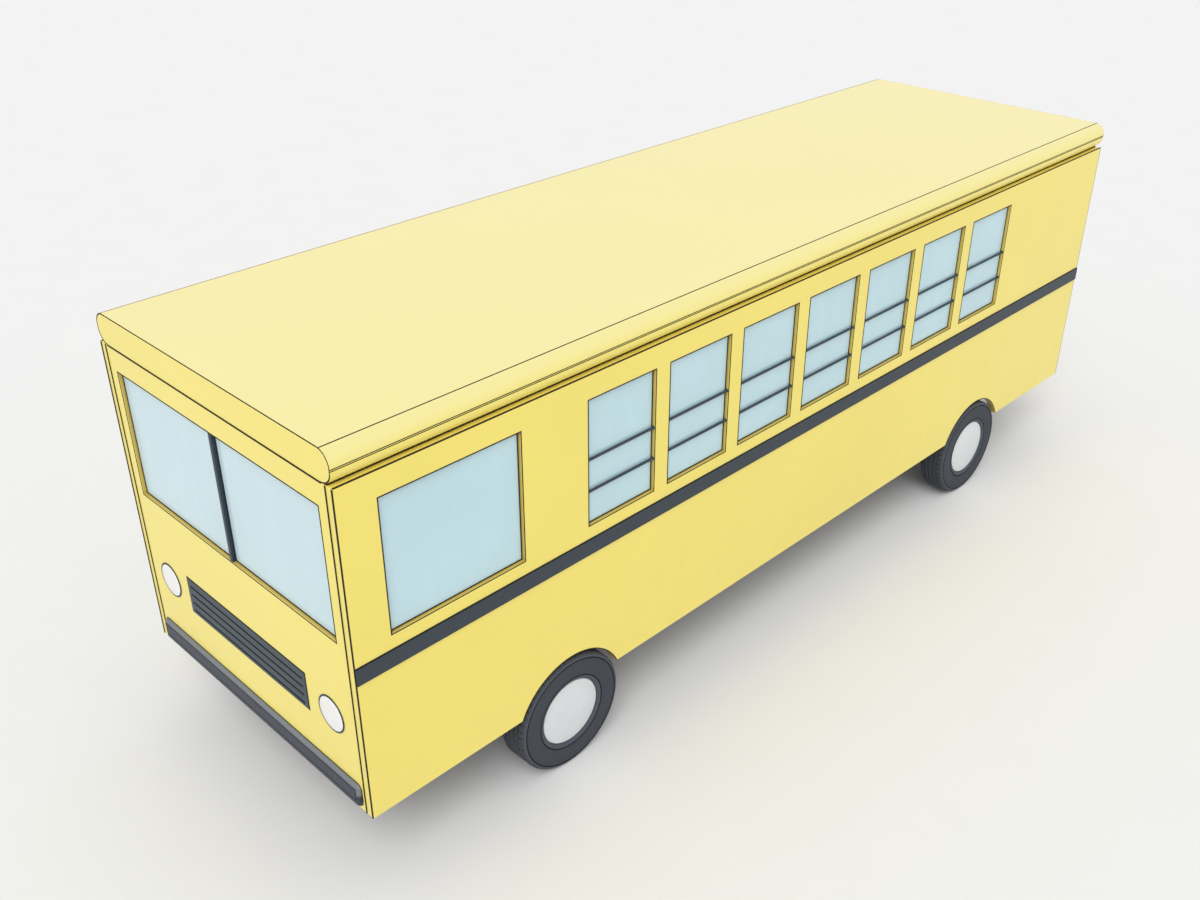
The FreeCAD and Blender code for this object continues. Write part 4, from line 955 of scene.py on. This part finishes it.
def fit_lamps(node, outward, level, lens):
    """Each lamp has a dark rim, a domed lens that stands proud of it, and a bucket behind the panel."""
    rims = bmesh.new()
    lenses = bmesh.new()
    buckets = bmesh.new()
    for low, high in solids(node):
        radius = (high.z - low.z) / 2
        centre = (low + high) / 2
        centre.y = level
        glass = radius - 0.0108
        rim = [(-0.002, radius), (0.0035, radius), (0.005, radius - 0.0012), (0.0058, radius - 0.0030),
               (0.005, glass + 0.0006), (0.003, glass + 0.0002), (-0.002, glass), (-0.002, radius)]
        lathe(rims, rim, centre, (0, outward, 0), 96)
        dome = [(-0.055, 0), (-0.050, radius * 0.6), (-0.002, radius * 0.84), (0.003, glass),
                (0.0056, glass - 0.0012), (0.0072, glass - 0.005), (0.0080, glass - 0.010),
                (0.0092, glass * 0.6), (0.0098, 0)]
        lathe(lenses, dome, centre, (0, outward, 0), 96)
        barrel = BUCKET - 0.001
        flange = barrel + 0.014
        mouth = 0.004 - WALL
        bucket = [(mouth, barrel - 0.002), (mouth, barrel), (0.0002, barrel), (0.0002, flange),
                  (0.0020, flange), (0.0030, flange - 0.002), (0.0030, barrel - 0.002),
                  (0.0020, barrel - 0.004), (0.0020, 0)]
        lathe(buckets, bucket, centre - Vector((0, outward * WALL, 0)), (0, -outward, 0), 64)
    stand_in(node + "_lenses", lenses, node, lens, smooth=35)
    piece(node + "_rims", rims, bar_dark, "coach", smooth=50)
    piece(node + "_buckets", buckets, bar_dark, "coach", smooth=40)


def bumper_outline(low, high, inset):
    """A bumper's outline from the front, as (x, z), drawn in on every side."""
    right, left = high.x - BUMPER_CORNER, low.x + BUMPER_CORNER
    top, bottom = high.z - BUMPER_CORNER, low.z + BUMPER_CORNER
    points = []
    for x, z, start in ((right, top, 0), (left, top, 90), (left, bottom, 180), (right, bottom, 270)):
        points += arc(x, z, BUMPER_CORNER - inset, start, start + 90, 8)
    return points


def bumper_edge(depth):
    """How a bumper's face rounds into its edge, as (in from the edge, out from the panel)."""
    return [(inset, depth - drop) for inset, drop in rounded_corner(BUMPER_ROUND, 8)]


def fit_bumper(node, outward):
    """Pressed steel with a fully rounded edge, and a fine swage round its flat face."""
    low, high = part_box(node)
    back = low.y if outward > 0 else high.y
    depth = high.y - low.y
    swage = depth - 0.0026
    sections = [(0, 0)] + bumper_edge(depth)
    sections += [(BUMPER_ROUND + 0.0016, swage), (BUMPER_ROUND + 0.0052, swage),
                 (BUMPER_ROUND + 0.0066, depth)]
    mesh = bmesh.new()
    rows = []
    for inset, out in sections:
        outline = at_y(bumper_outline(low, high, inset), back + outward * out)
        rows.append([mesh.verts.new(point) for point in outline])
    join_rows(mesh, rows)
    close_ends(mesh, rows)
    stand_in(node + "_pressing", mesh, node, bumper_dark, smooth=32)


def fit_lip(mesh, node, outward):
    """A rubber lip under a bumper, which squares off its lower edge."""
    low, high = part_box(node)
    back = low.y if outward > 0 else high.y
    depth = high.y - low.y - 0.0010
    drop = 0.004
    edge_radius = 0.003
    top = low.z + BUMPER_ROUND - 0.002
    shape = [(0, top), (1, top)]
    shape += [(1 - inset / depth, low.z - drop + rise) for inset, rise in rounded_corner(edge_radius, 4)]
    shape.append((0, low.z - drop))
    edge = bumper_edge(depth)
    stations = [(low.x + inset, out) for inset, out in edge]
    stations += [(high.x - inset, out) for inset, out in edge[::-1]]
    rows = []
    for x, out in stations:
        rows.append([mesh.verts.new((x, back + outward * out * share, z)) for share, z in shape])
    join_rows(mesh, rows)
    close_ends(mesh, rows)


def dress_ends():
    fit_lamps("headlamps", -1, FRONT, head_lens)
    fit_lamps("tail_lamps", 1, REAR, tail_lens)
    lips = bmesh.new()
    for bumper, outward in (("front_bumper", -1), ("rear_bumper", 1)):
        fit_bumper(bumper, outward)
        fit_lip(lips, bumper, outward)
    piece("bumper_lips", lips, bumper_dark, "coach", smooth=40)
    refine("rub_rails", rail_dark, 0.0016)
    refine("grille", grille_dark, 0.0014)
    refine("windscreen_mullion", bar_dark, 0.004)


# Wheels

def tread_columns(pitches, depth):
    """Turns round a tyre, with a notch between every two blocks."""
    columns = []
    for pitch in range(pitches):
        for share, cut in ((0.0, 0), (0.05, depth), (0.20, depth), (0.25, 0), (0.62, 0)):
            columns.append((2 * math.pi * (pitch + share) / pitches, cut))
    return columns


def wheel_face(node, outward):
    """The width of a tyre or wheel, and the middle of its outer face."""
    low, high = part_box(node)
    face = high.x if outward > 0 else low.x
    return high.x - low.x, (face, (low.y + high.y) / 2, TYRE_RADIUS)


def fit_tyre(end, side, outward):
    """Flat walls with fine rings, round shoulders cut into blocks, and five ribs."""
    node = "%s_tyre_%s" % (end, side)
    width, centre = wheel_face(node, outward)
    bead = 0.245
    shoulder = 0.027
    groove_depth = 0.008
    block_depth = 0.006
    half = [(0.011, bead, 0), (0.004, bead + 0.016, 0), (0.0, bead + 0.030, 0)]
    for ring, rise in ((INNER_RING, 0.0030), (0.2960, 0.0010), (0.3860, 0.0012), (OUTER_RING, 0.0030)):
        for shift, along in ((-0.0035, 0), (-0.0018, rise), (0.0018, rise), (0.0035, 0)):
            half.append((along, ring + shift, 0))
    for along, drop in rounded_corner(shoulder, 6):
        half.append((along, TYRE_RADIUS - drop, min(1, max(0, (along - 0.002) / 0.01))))
    for middle, outer_share in ((0.056, 1), (0.091, 0.35)):
        half.append((middle - 0.0048, TYRE_RADIUS, outer_share))
        half.append((middle - 0.0030, TYRE_RADIUS - groove_depth, 0))
        half.append((middle + 0.0030, TYRE_RADIUS - groove_depth, 0))
        half.append((middle + 0.0048, TYRE_RADIUS, 0.35))
    outline = half + [(width - point[0], *point[1:]) for point in half[::-1]]
    outline.append(outline[0])
    mesh = bmesh.new()
    lathe(mesh, outline, centre, (-outward, 0, 0), tread_columns(54, block_depth))
    stand_in(node + "_road", mesh, node, tyre_finish[end], smooth=34)


def fit_wheel(end, side, outward):
    """A plain pale disc with a rolled edge, its rim barrel, and the finned brake drum behind it."""
    node = "%s_wheel_%s" % (end, side)
    depth, centre = wheel_face(node, outward)
    rim = 0.2447
    barrel = rim - 0.014
    back = 0.029
    drum = 0.190
    root = drum - 0.004
    shoes = 0.176
    drum_end = 0.139
    hub = 0.062
    hub_end = 0.119
    bore = 0.0303
    lip = 0.0150
    disc = 0.2402
    first_fin = 0.045
    fin_pitch = 0.019
    outline = [(0, 0), (0, disc - 0.0087), (0.0008, disc - 0.0047), (0.0030, disc - 0.0012),
               (0.0060, disc), (lip, disc), (lip, rim), (depth, rim), (depth, barrel), (back, barrel),
               (back, drum)]
    for fin in range(5):
        start = first_fin + fin * fin_pitch
        outline += [(start, root), (start + 0.002, drum), (start + 0.007, drum), (start + 0.009, root)]
    outline += [(drum_end, root), (drum_end, shoes), (back, shoes), (back, hub), (hub_end, hub),
                (hub_end, bore), (back, bore), (back, 0)]
    mesh = bmesh.new()
    lathe(mesh, outline, centre, (-outward, 0, 0), 96)
    stand_in(node + "_disc", mesh, node, wheel_finish[end], smooth=30)


def fit_wheels():
    for end in ("front", "rear"):
        for side, outward in (("left", 1), ("right", -1)):
            fit_tyre(end, side, outward)
            fit_wheel(end, side, outward)


# Under the floor

def dress_underside():
    finishes = (
        (chassis_black, ("frame_rails", "floor_bearers", "drive_shaft")),
        (leaf_steel, ("leaf_springs",)),
        (tank_black, ("fuel_tank",)),
        (cast_iron, ("knuckle_left", "knuckle_right", "front_axle", "rear_axle")),
        (cast_iron, ("exhaust", "engine_block")),
    )
    for material, names in finishes:
        for name in names:
            dress(name, material)
    refine("entry_steps", deck_rubber, 0.003)


def fit_spring_clamps():
    """Two U-bolts over each spring, drawn up to a plate under its axle."""
    mesh = bmesh.new()
    top = SPRING_SEAT + 0.052
    foot = TYRE_RADIUS - 0.083
    half_bolt = 0.046
    half_pair = 0.066
    half_plate = 0.085
    rod = round_bar(0.0075, 8)
    nut = [(0, 0), (0, 0.013), (0.012, 0.013), (0.012, 0)]
    for axle_y in AXLE_Y.values():
        for low, high in solids("leaf_springs"):
            if not low.y < axle_y < high.y:
                continue
            middle = SPRING_OUT if low.x > 0 else -SPRING_OUT
            legs = (middle - half_bolt, middle + half_bolt)
            hoop = [(legs[0], foot), (legs[0], top), (legs[1], top), (legs[1], foot)]
            for y in (axle_y - half_pair, axle_y + half_pair):
                sweep(mesh, at_y(hoop, y), rod, up=(0, 1, 0))
                for x in legs:
                    lathe(mesh, nut, (x, y, foot + 0.004), (0, 0, 1), 6)
            lower = (0.062, foot + 0.016, foot + 0.028)
            upper = (0.040, SPRING_SEAT + 0.040, SPRING_SEAT + 0.048)
            for half_width, base, crown in (lower, upper):
                block(mesh, (middle - half_width, axle_y - half_plate, base),
                      (middle + half_width, axle_y + half_plate, crown))
    piece("spring_clamps", mesh, chassis_black, "coach", smooth=40)


def fit_tank_straps():
    """Two steel straps round the fuel tank, each hooked on the frame rail."""
    low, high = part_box("fuel_tank")
    corner = 0.060
    x = low.x + corner
    route = [(high.x, high.z)] + arc(x, high.z - corner, corner, 90, 180, 6)
    route += arc(x, low.z + corner, corner, 180, 270, 6) + [(high.x, low.z)]
    strip = [(-0.0005, -0.022), (0.0028, -0.022), (0.0028, 0.022), (-0.0005, 0.022)]
    mesh = bmesh.new()
    for share in (0.22, 0.78):
        y = low.y + (high.y - low.y) * share
        sweep(mesh, at_y(route, y), strip, up=(0, 1, 0))
    piece("tank_straps", mesh, dull_steel, "coach", smooth=35)


def fit_shaft_joints():
    """Yokes and caps at the drive shaft's ends and at its middle bearing."""
    low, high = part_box("drive_shaft")
    inner = 0.040
    outer = 0.058
    length = 0.055
    outline = [(0, inner), (0, outer - 0.006), (0.012, outer), (length - 0.012, outer),
               (length, outer - 0.006), (length, inner), (0, inner)]
    mesh = bmesh.new()
    for y, z in ((low.y, SHAFT_Z), (0, SHAFT_Z), (high.y, TYRE_RADIUS)):
        start = min(high.y - 0.06, max(low.y + 0.005, y - 0.03))
        lathe(mesh, outline, (0, start, z), (0, 1, 0), 24)
    piece("shaft_joints", mesh, cast_iron, "coach", smooth=40)


# Doors

def fit_doors():
    """Painted leaves, with a rubber edge where the two meet."""
    for name in ("service_door_front", "service_door_rear", "emergency_door"):
        refine(name, door_yellow, 0.0025)
    for name, meets_at_high in (("service_door_front", True), ("service_door_rear", False)):
        low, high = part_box(name)
        y0, y1 = (high.y - 0.007, high.y - 0.0005) if meets_at_high else (low.y + 0.0005, low.y + 0.007)
        mesh = bmesh.new()
        block(mesh, (-HALF_WIDTH - 0.0008, y0, low.z + 0.002),
              (-HALF_WIDTH + LEAF + 0.0008, y1, high.z - 0.002))
        piece(name + "_edge_rubber", mesh, seal_rubber, body_of(name), bevel=0.0006)


def fit_hinges():
    """Bolt heads on the strap and plates of every hinge, and a cap on each end of its pin."""
    head = [(-0.001, 0), (-0.001, 0.0062), (0.0008, 0.0062), (0.0018, 0.0050), (0.0024, 0.0028),
            (0.0025, 0)]
    cap = [(0, 0), (0, HINGE_PIN), (0.0018, 0.0040), (0.0028, 0.0022), (0.0030, 0)]
    from_end = 0.022
    strap_bolts = (0.021, 0.045)
    plate_bolt = 0.027
    exit_low, exit_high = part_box("emergency_door")
    top = exit_high.z + DOOR_GAP
    hinges = []
    for name, side in (("service_door_front", 1), ("service_door_rear", -1)):
        low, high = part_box(name)
        y = low.y + HINGE_PIN if side > 0 else high.y - HINGE_PIN
        line = Vector((low.x + HINGE_PIN, y, 0))
        hinges.append((name, line, Vector((0, side, 0)), Vector((-1, 0, 0)), SKIRT + HINGE_TALL))
    line = Vector((exit_low.x + HINGE_PIN, exit_high.y - HINGE_PIN, 0))
    lowest = exit_low.z - DOOR_GAP + 2 * HINGE_TALL
    hinges.append(("emergency_door", line, Vector((1, 0, 0)), Vector((0, 1, 0)), lowest))
    for name, line, across, outward, lowest in hinges:
        strap = bmesh.new()
        plates = bmesh.new()
        face = line - outward * HINGE_CLEAR
        for z in (lowest, top - 3 * HINGE_TALL):
            for rise in (z + from_end, z + HINGE_TALL - from_end):
                for reach in strap_bolts:
                    lathe(strap, head, face + across * reach + Vector((0, 0, rise)), outward, 16)
                for level in (rise - HINGE_TALL, rise + HINGE_TALL):
                    lathe(plates, head, face - across * plate_bolt + Vector((0, 0, level)), outward, 16)
            lathe(plates, cap, line + Vector((0, 0, z + 2 * HINGE_TALL + 0.001)), (0, 0, 1), 16)
            lathe(plates, cap, line + Vector((0, 0, z - HINGE_TALL - 0.001)), (0, 0, -1), 16)
        piece(name + "_strap_bolts", strap, hinge_yellow, body_of(name), smooth=35)
        piece(name + "_plate_bolts", plates, hinge_yellow, "coach", smooth=35)


def fit_exit_handle():
    """A lever on a round-ended plate, on the emergency door's free side."""
    low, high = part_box("emergency_door")
    x = high.x - 0.085
    z = low.z + (high.z - low.z) * 0.30
    half_straight = 0.035
    radius = 0.026
    plate = arc(x, z + half_straight, radius, 0, 180, 12)
    plate += arc(x, z - half_straight, radius, 195, 345, 10)
    mesh = bmesh.new()
    rows = [[mesh.verts.new(point) for point in at_y(plate, y)] for y in (REAR, REAR + 0.005)]
    mesh.faces.new(rows[1])
    join_rows(mesh, rows)
    reach = REAR + 0.0175
    lever = [(x, REAR + 0.002, z), (x, reach - 0.004, z), (x - 0.006, reach, z), (x - 0.14, reach, z),
             (x - 0.15, reach - 0.004, z)]
    sweep(mesh, lever, round_bar(0.0078))
    piece("rear_exit_handle", mesh, bright_steel, "rear_exit", smooth=40)


# Seats

def held(spot, limits):
    """A point held inside a box about the middle."""
    return Vector([max(-limit, min(limit, part)) for part, limit in zip(spot, limits)])


def pad_block(size, thin):
    """A finely divided block with rounded edges, and the points round its two flat sides."""
    half = size / 2
    start = half - Vector((1, 1, 1)) * min(0.008, min(half) * 0.18)
    mesh = bmesh.new()
    bmesh.ops.create_cube(mesh, size=2)
    cell = 0.028
    for axis in range(3):
        cuts = max(2, round(size[axis] / cell)) - 1
        across = [edge for edge in mesh.edges
                  if abs(edge.verts[0].co[axis] - edge.verts[1].co[axis]) > 0.5]
        bmesh.ops.subdivide_edges(mesh, edges=across, cuts=cuts, use_grid_fill=True)
    rings = {-1: [], 1: []}
    for vertex in mesh.verts:
        sides = [axis for axis in range(3) if abs(abs(vertex.co[axis]) - 1) < 1e-4]
        if thin in sides and len(sides) > 1:
            rings[1 if vertex.co[thin] > 0 else -1].append(vertex.index)
    mesh.verts.ensure_lookup_table()
    mesh.verts.index_update()
    rounding = min(start) * 0.62
    for vertex in mesh.verts:
        spot = Vector([part * limit for part, limit in zip(vertex.co, start)])
        core = held(spot, [limit - rounding for limit in start])
        away = spot - core
        vertex.co = core + away.normalized() * rounding if away.length > 0 else spot
    return mesh, rings


def stuffed(size):
    """A pad of this size about its own middle: a rounded block swollen by cloth pressure, with piping."""
    half = size / 2
    thin = list(size).index(min(size))
    mesh, rings = pad_block(size, thin)
    data = mesh_data("pad_shape", mesh)
    shape = [vertex.co.copy() for vertex in data.vertices]
    swollen = swell(data)
    most = min(0.014, min(size) * 0.16)
    for vertex, before, after in zip(data.vertices, shape, swollen):
        move = after - before
        if move.length > most:
            move *= most / move.length
        vertex.co = held(before + move, half)
    mesh = bmesh.new()
    mesh.from_mesh(data)
    mesh.verts.ensure_lookup_table()
    first, second = [axis for axis in range(3) if axis != thin]
    paths = []
    for ring in rings.values():
        path = [mesh.verts[index].co.copy() for index in ring]
        path.sort(key=lambda spot: math.atan2(spot[second] / half[second], spot[first] / half[first]))
        paths.append(path)
    bmesh.ops.subdivide_edges(mesh, edges=mesh.edges, cuts=1, use_grid_fill=True, smooth=0.8)
    normal = Vector((0, 0, 0))
    normal[thin] = 1
    piping = round_bar(0.0042, 6)
    for path in paths:
        sweep(mesh, path, piping, closed=True, up=normal)
    for vertex in mesh.verts:
        vertex.co = held(vertex.co, half)
    bmesh.ops.recalc_face_normals(mesh, faces=mesh.faces)
    mesh.to_mesh(data)
    mesh.free()
    data.polygons.foreach_set("use_smooth", [True] * len(data.polygons))
    data.materials.append(vinyl_green)
    return data


def swell(data):
    """Where the points of a closed mesh stand once cloth pressure has swollen it."""
    trial = put("trial_pad", data.copy())
    cloth = trial.modifiers.new("stuffing", "CLOTH")
    cloth.settings.use_pressure = True
    cloth.settings.uniform_pressure_force = 4
    cloth.settings.effector_weights.gravity = 0
    for step in range(1, 21):
        bpy.context.scene.frame_set(step)
    ready = trial.evaluated_get(bpy.context.evaluated_depsgraph_get())
    spots = [vertex.co.copy() for vertex in ready.data.vertices]
    bpy.context.scene.frame_set(1)
    bpy.data.objects.remove(trial)
    return spots


def upholster():
    """A stuffed pad for every cushion solid; pads of one size share their shape."""
    shapes = {}
    for number, (low, high) in enumerate(solids("seat_cushions"), 1):
        size = high - low
        key = tuple(round(part, 3) for part in size)
        if key not in shapes:
            shapes[key] = stuffed(size)
        pad = put("seat_pad_%02d" % number, shapes[key])
        pad.location = (low + high) / 2
        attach(pad, "coach")
        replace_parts(pad, "seat_cushions")
    refine("seat_frames", seat_black, 0.004)


# Driving place

def fit_steering_wheel():
    """A smooth rim on three flattened spokes, a horn pad, and a column with a ribbed boot."""
    foot = Vector((DRIVER_X, COLUMN_Y, FLOOR_TOP + 0.013))
    lean = Matrix.Rotation(math.radians(-23), 3, "X")
    up = lean @ Vector((0, 0, 1))
    length = 0.790
    rim_radius = 0.225
    rim_thickness = 0.014
    column_radius = 0.032
    boot_rib = 0.022
    hub = foot + up * length
    mesh = bmesh.new()
    rim = [(rise, across) for across, rise in arc(rim_radius, 0, rim_thickness, 0, 360, 16)]
    lathe(mesh, rim, hub, up, 72)
    horn_pad = [(-0.017, 0), (-0.017, 0.050), (-0.010, 0.058), (0.008, 0.058), (0.015, 0.050),
                (0.0175, 0.02), (0.0178, 0)]
    lathe(mesh, horn_pad, hub, up)
    spoke = [(-0.015, -0.003), (-0.010, -0.006), (0.010, -0.006), (0.015, -0.003),
             (0.015, 0.003), (0.010, 0.006), (-0.010, 0.006), (-0.015, 0.003)]
    for direction in ((1, 0, 0), (-1, 0, 0), (0, -1, 0)):
        along = lean @ Vector(direction)
        sweep(mesh, [hub + along * 0.045, hub + along * (rim_radius - 0.004)], spoke, up=up)
    column = [(0.0, 0.0), (0.0, column_radius), (length - 0.015, column_radius), (length - 0.015, 0)]
    lathe(mesh, column, foot, up, 32)
    root = column_radius - 0.001
    crest = column_radius + 0.0015
    for rib in range(5):
        start = 0.02 + rib * boot_rib
        lathe(mesh, [(start, root), (start + 0.004, crest), (start + 0.010, crest), (start + 0.014, root)],
              foot, up, 32)
    stand_in("steering_wheel_and_column", mesh, "steering_column", black_plastic, smooth=40)


def fit_dials():
    """Four gauges with bezels, marks and needles on the slope before the driver."""
    dash_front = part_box("dashboard")[0].y
    crest = Vector((0, dash_front + 0.230, SILL - 0.090))
    nose = Vector((0, dash_front + 0.310, SILL - 0.230))
    middle = (crest + nose) / 2
    across = Vector((1, 0, 0))
    slope = (crest - nose).normalized()
    normal = across.cross(slope).normalized()
    if normal.y < 0:
        normal = -normal
    bezels = bmesh.new()
    faces = bmesh.new()
    marks = bmesh.new()
    for shift, radius in ((-0.075, 0.052), (0.075, 0.052), (-0.175, 0.034), (0.175, 0.034)):
        centre = middle + across * (DRIVER_X + shift)
        bezel = [(0, radius + 0.005), (0.006, radius + 0.004), (0.007, radius + 0.001),
                 (0.004, radius - 0.001), (0.0, radius - 0.001)]
        lathe(bezels, bezel, centre, normal)
        lathe(faces, [(0.0012, 0), (0.0012, radius)], centre, normal)
        tick = ((0.78, 0.92), 0.0016, flat_strip(0.0022, 0.0006))
        needle = ((-0.15, 0.75), 0.0022, flat_strip(0.0026, 0.0008))
        hands = [(225 - 27 * step, tick) for step in range(11)] + [(150, needle)]
        for angle, (shares, lift, strip) in hands:
            turn = math.radians(angle)
            spoke = across * -math.cos(turn) + slope * math.sin(turn)
            ends = [centre + normal * lift + spoke * radius * share for share in shares]
            sweep(marks, ends, strip, up=normal)
    piece("dial_bezels", bezels, black_plastic, "coach", smooth=40)
    piece("dial_faces", faces, dial_white, "coach")
    piece("dial_marks", marks, bar_dark, "coach")
    switches = bmesh.new()
    first_switch = DRIVER_X - 0.33
    switch_pitch = 0.045
    turn = Matrix((across, slope, normal)).transposed().to_4x4()
    for column in range(6):
        centre = middle + across * (first_switch - column * switch_pitch)
        place = Matrix.Translation(centre) @ turn
        block(switches, (-0.014, -0.022, -0.002), (0.014, 0.022, 0.004), place)
        block(switches, (-0.010, -0.016, 0.004), (0.010, 0.002, 0.009), place)
    piece("dash_switches", switches, black_plastic, "coach", bevel=0.001)
    refine("dashboard", dash_grey, 0.012)
    refine("engine_cover", cover_grey, 0.018)


def fit_ceiling_bows():
    """Low ribs across the ceiling, one over each window post."""
    mesh = bmesh.new()
    ceiling = EAVES + 0.140
    reach = INNER_WALL - WALL - 0.002
    section = [(-0.030, 0.001), (-0.024, -0.010), (-0.014, -0.015), (0.014, -0.015), (0.024, -0.010),
               (0.030, 0.001)]
    for bow in range(BOWS):
        y = FIRST_POST + bow * WINDOW_PITCH
        sweep(mesh, [(-reach, y, ceiling), (reach, y, ceiling)], section)
    piece("ceiling_bows", mesh, lining_paint, "coach", smooth=50)


paint_shell()
seal_joints()
fill_eaves()
seal_fittings()
seal_roof()
seal_windows()
fit_guard_bars()
dress_ends()
fit_wheels()
dress_underside()
fit_spring_clamps()
fit_tank_straps()
fit_shaft_joints()
fit_doors()
fit_hinges()
fit_exit_handle()
upholster()
fit_steering_wheel()
fit_dials()
fit_ceiling_bows()


# Camera, light and floor

def place_camera():
    """The photograph's camera."""
    data = bpy.data.cameras.new("camera")
    data.lens = 37.4056
    data.sensor_width = 36.0
    data.clip_end = 400
    camera = put("camera", data)
    camera.location = (5.8012, -6.8073, 6.0605)
    camera.rotation_euler = (1.04847, 0.00059, 0.78468)
    bpy.context.scene.camera = camera


def lay_floor():
    """A pale matt floor, open to a view from below."""
    mesh = bmesh.new()
    bmesh.ops.create_grid(mesh, x_segments=8, y_segments=8, size=90)
    ground = put("studio_floor", mesh_data("studio_floor", mesh))
    ground.location = (0, 0, -0.0005)
    board = Finish("studio_pale")
    board.set(base_color=board.mix(board.noise(1.5, 2), (0.835, 0.835, 0.835), (0.855, 0.855, 0.855)))
    board.set(roughness=0.9, specular_IOR_level=0.1)
    behind = board.add("ShaderNodeNewGeometry", out="Backfacing")
    seen = board.add("ShaderNodeLightPath", out="Is Camera Ray")
    open_below = board.add("ShaderNodeBsdfTransparent")
    board.show(board.add("ShaderNodeMixShader", values=[behind * seen, board.surface, open_below]))
    ground.data.materials.append(board.material)


def light_studio():
    """A soft key light, an even sky, and a pale backdrop wherever the sky itself is seen."""
    sun = bpy.data.lights.new("key", "SUN")
    sun.energy = 1.35
    sun.angle = math.radians(35)
    lamp = put("key", sun)
    lamp.rotation_euler = (math.radians(38), math.radians(18), math.radians(20))

    world = bpy.data.worlds.new("sky")
    bpy.context.scene.world = world
    board = Board(world, "ShaderNodeOutputWorld")
    light = board.add("ShaderNodeBackground", values=[(1, 1, 1), 0.74])
    backdrop = board.add("ShaderNodeBackground", values=[(0.90, 0.90, 0.90), 1.0])
    rays = board.add("ShaderNodeLightPath", out=("Is Camera Ray", "Is Glossy Ray", "Is Transmission Ray"))
    seen = (rays[0] + rays[1] + rays[2]).maths("MINIMUM", 1)
    board.show(board.add("ShaderNodeMixShader", values=[seen, light, backdrop]))


place_camera()
lay_floor()
light_studio()
bpy.context.scene.view_settings.view_transform = "Standard"
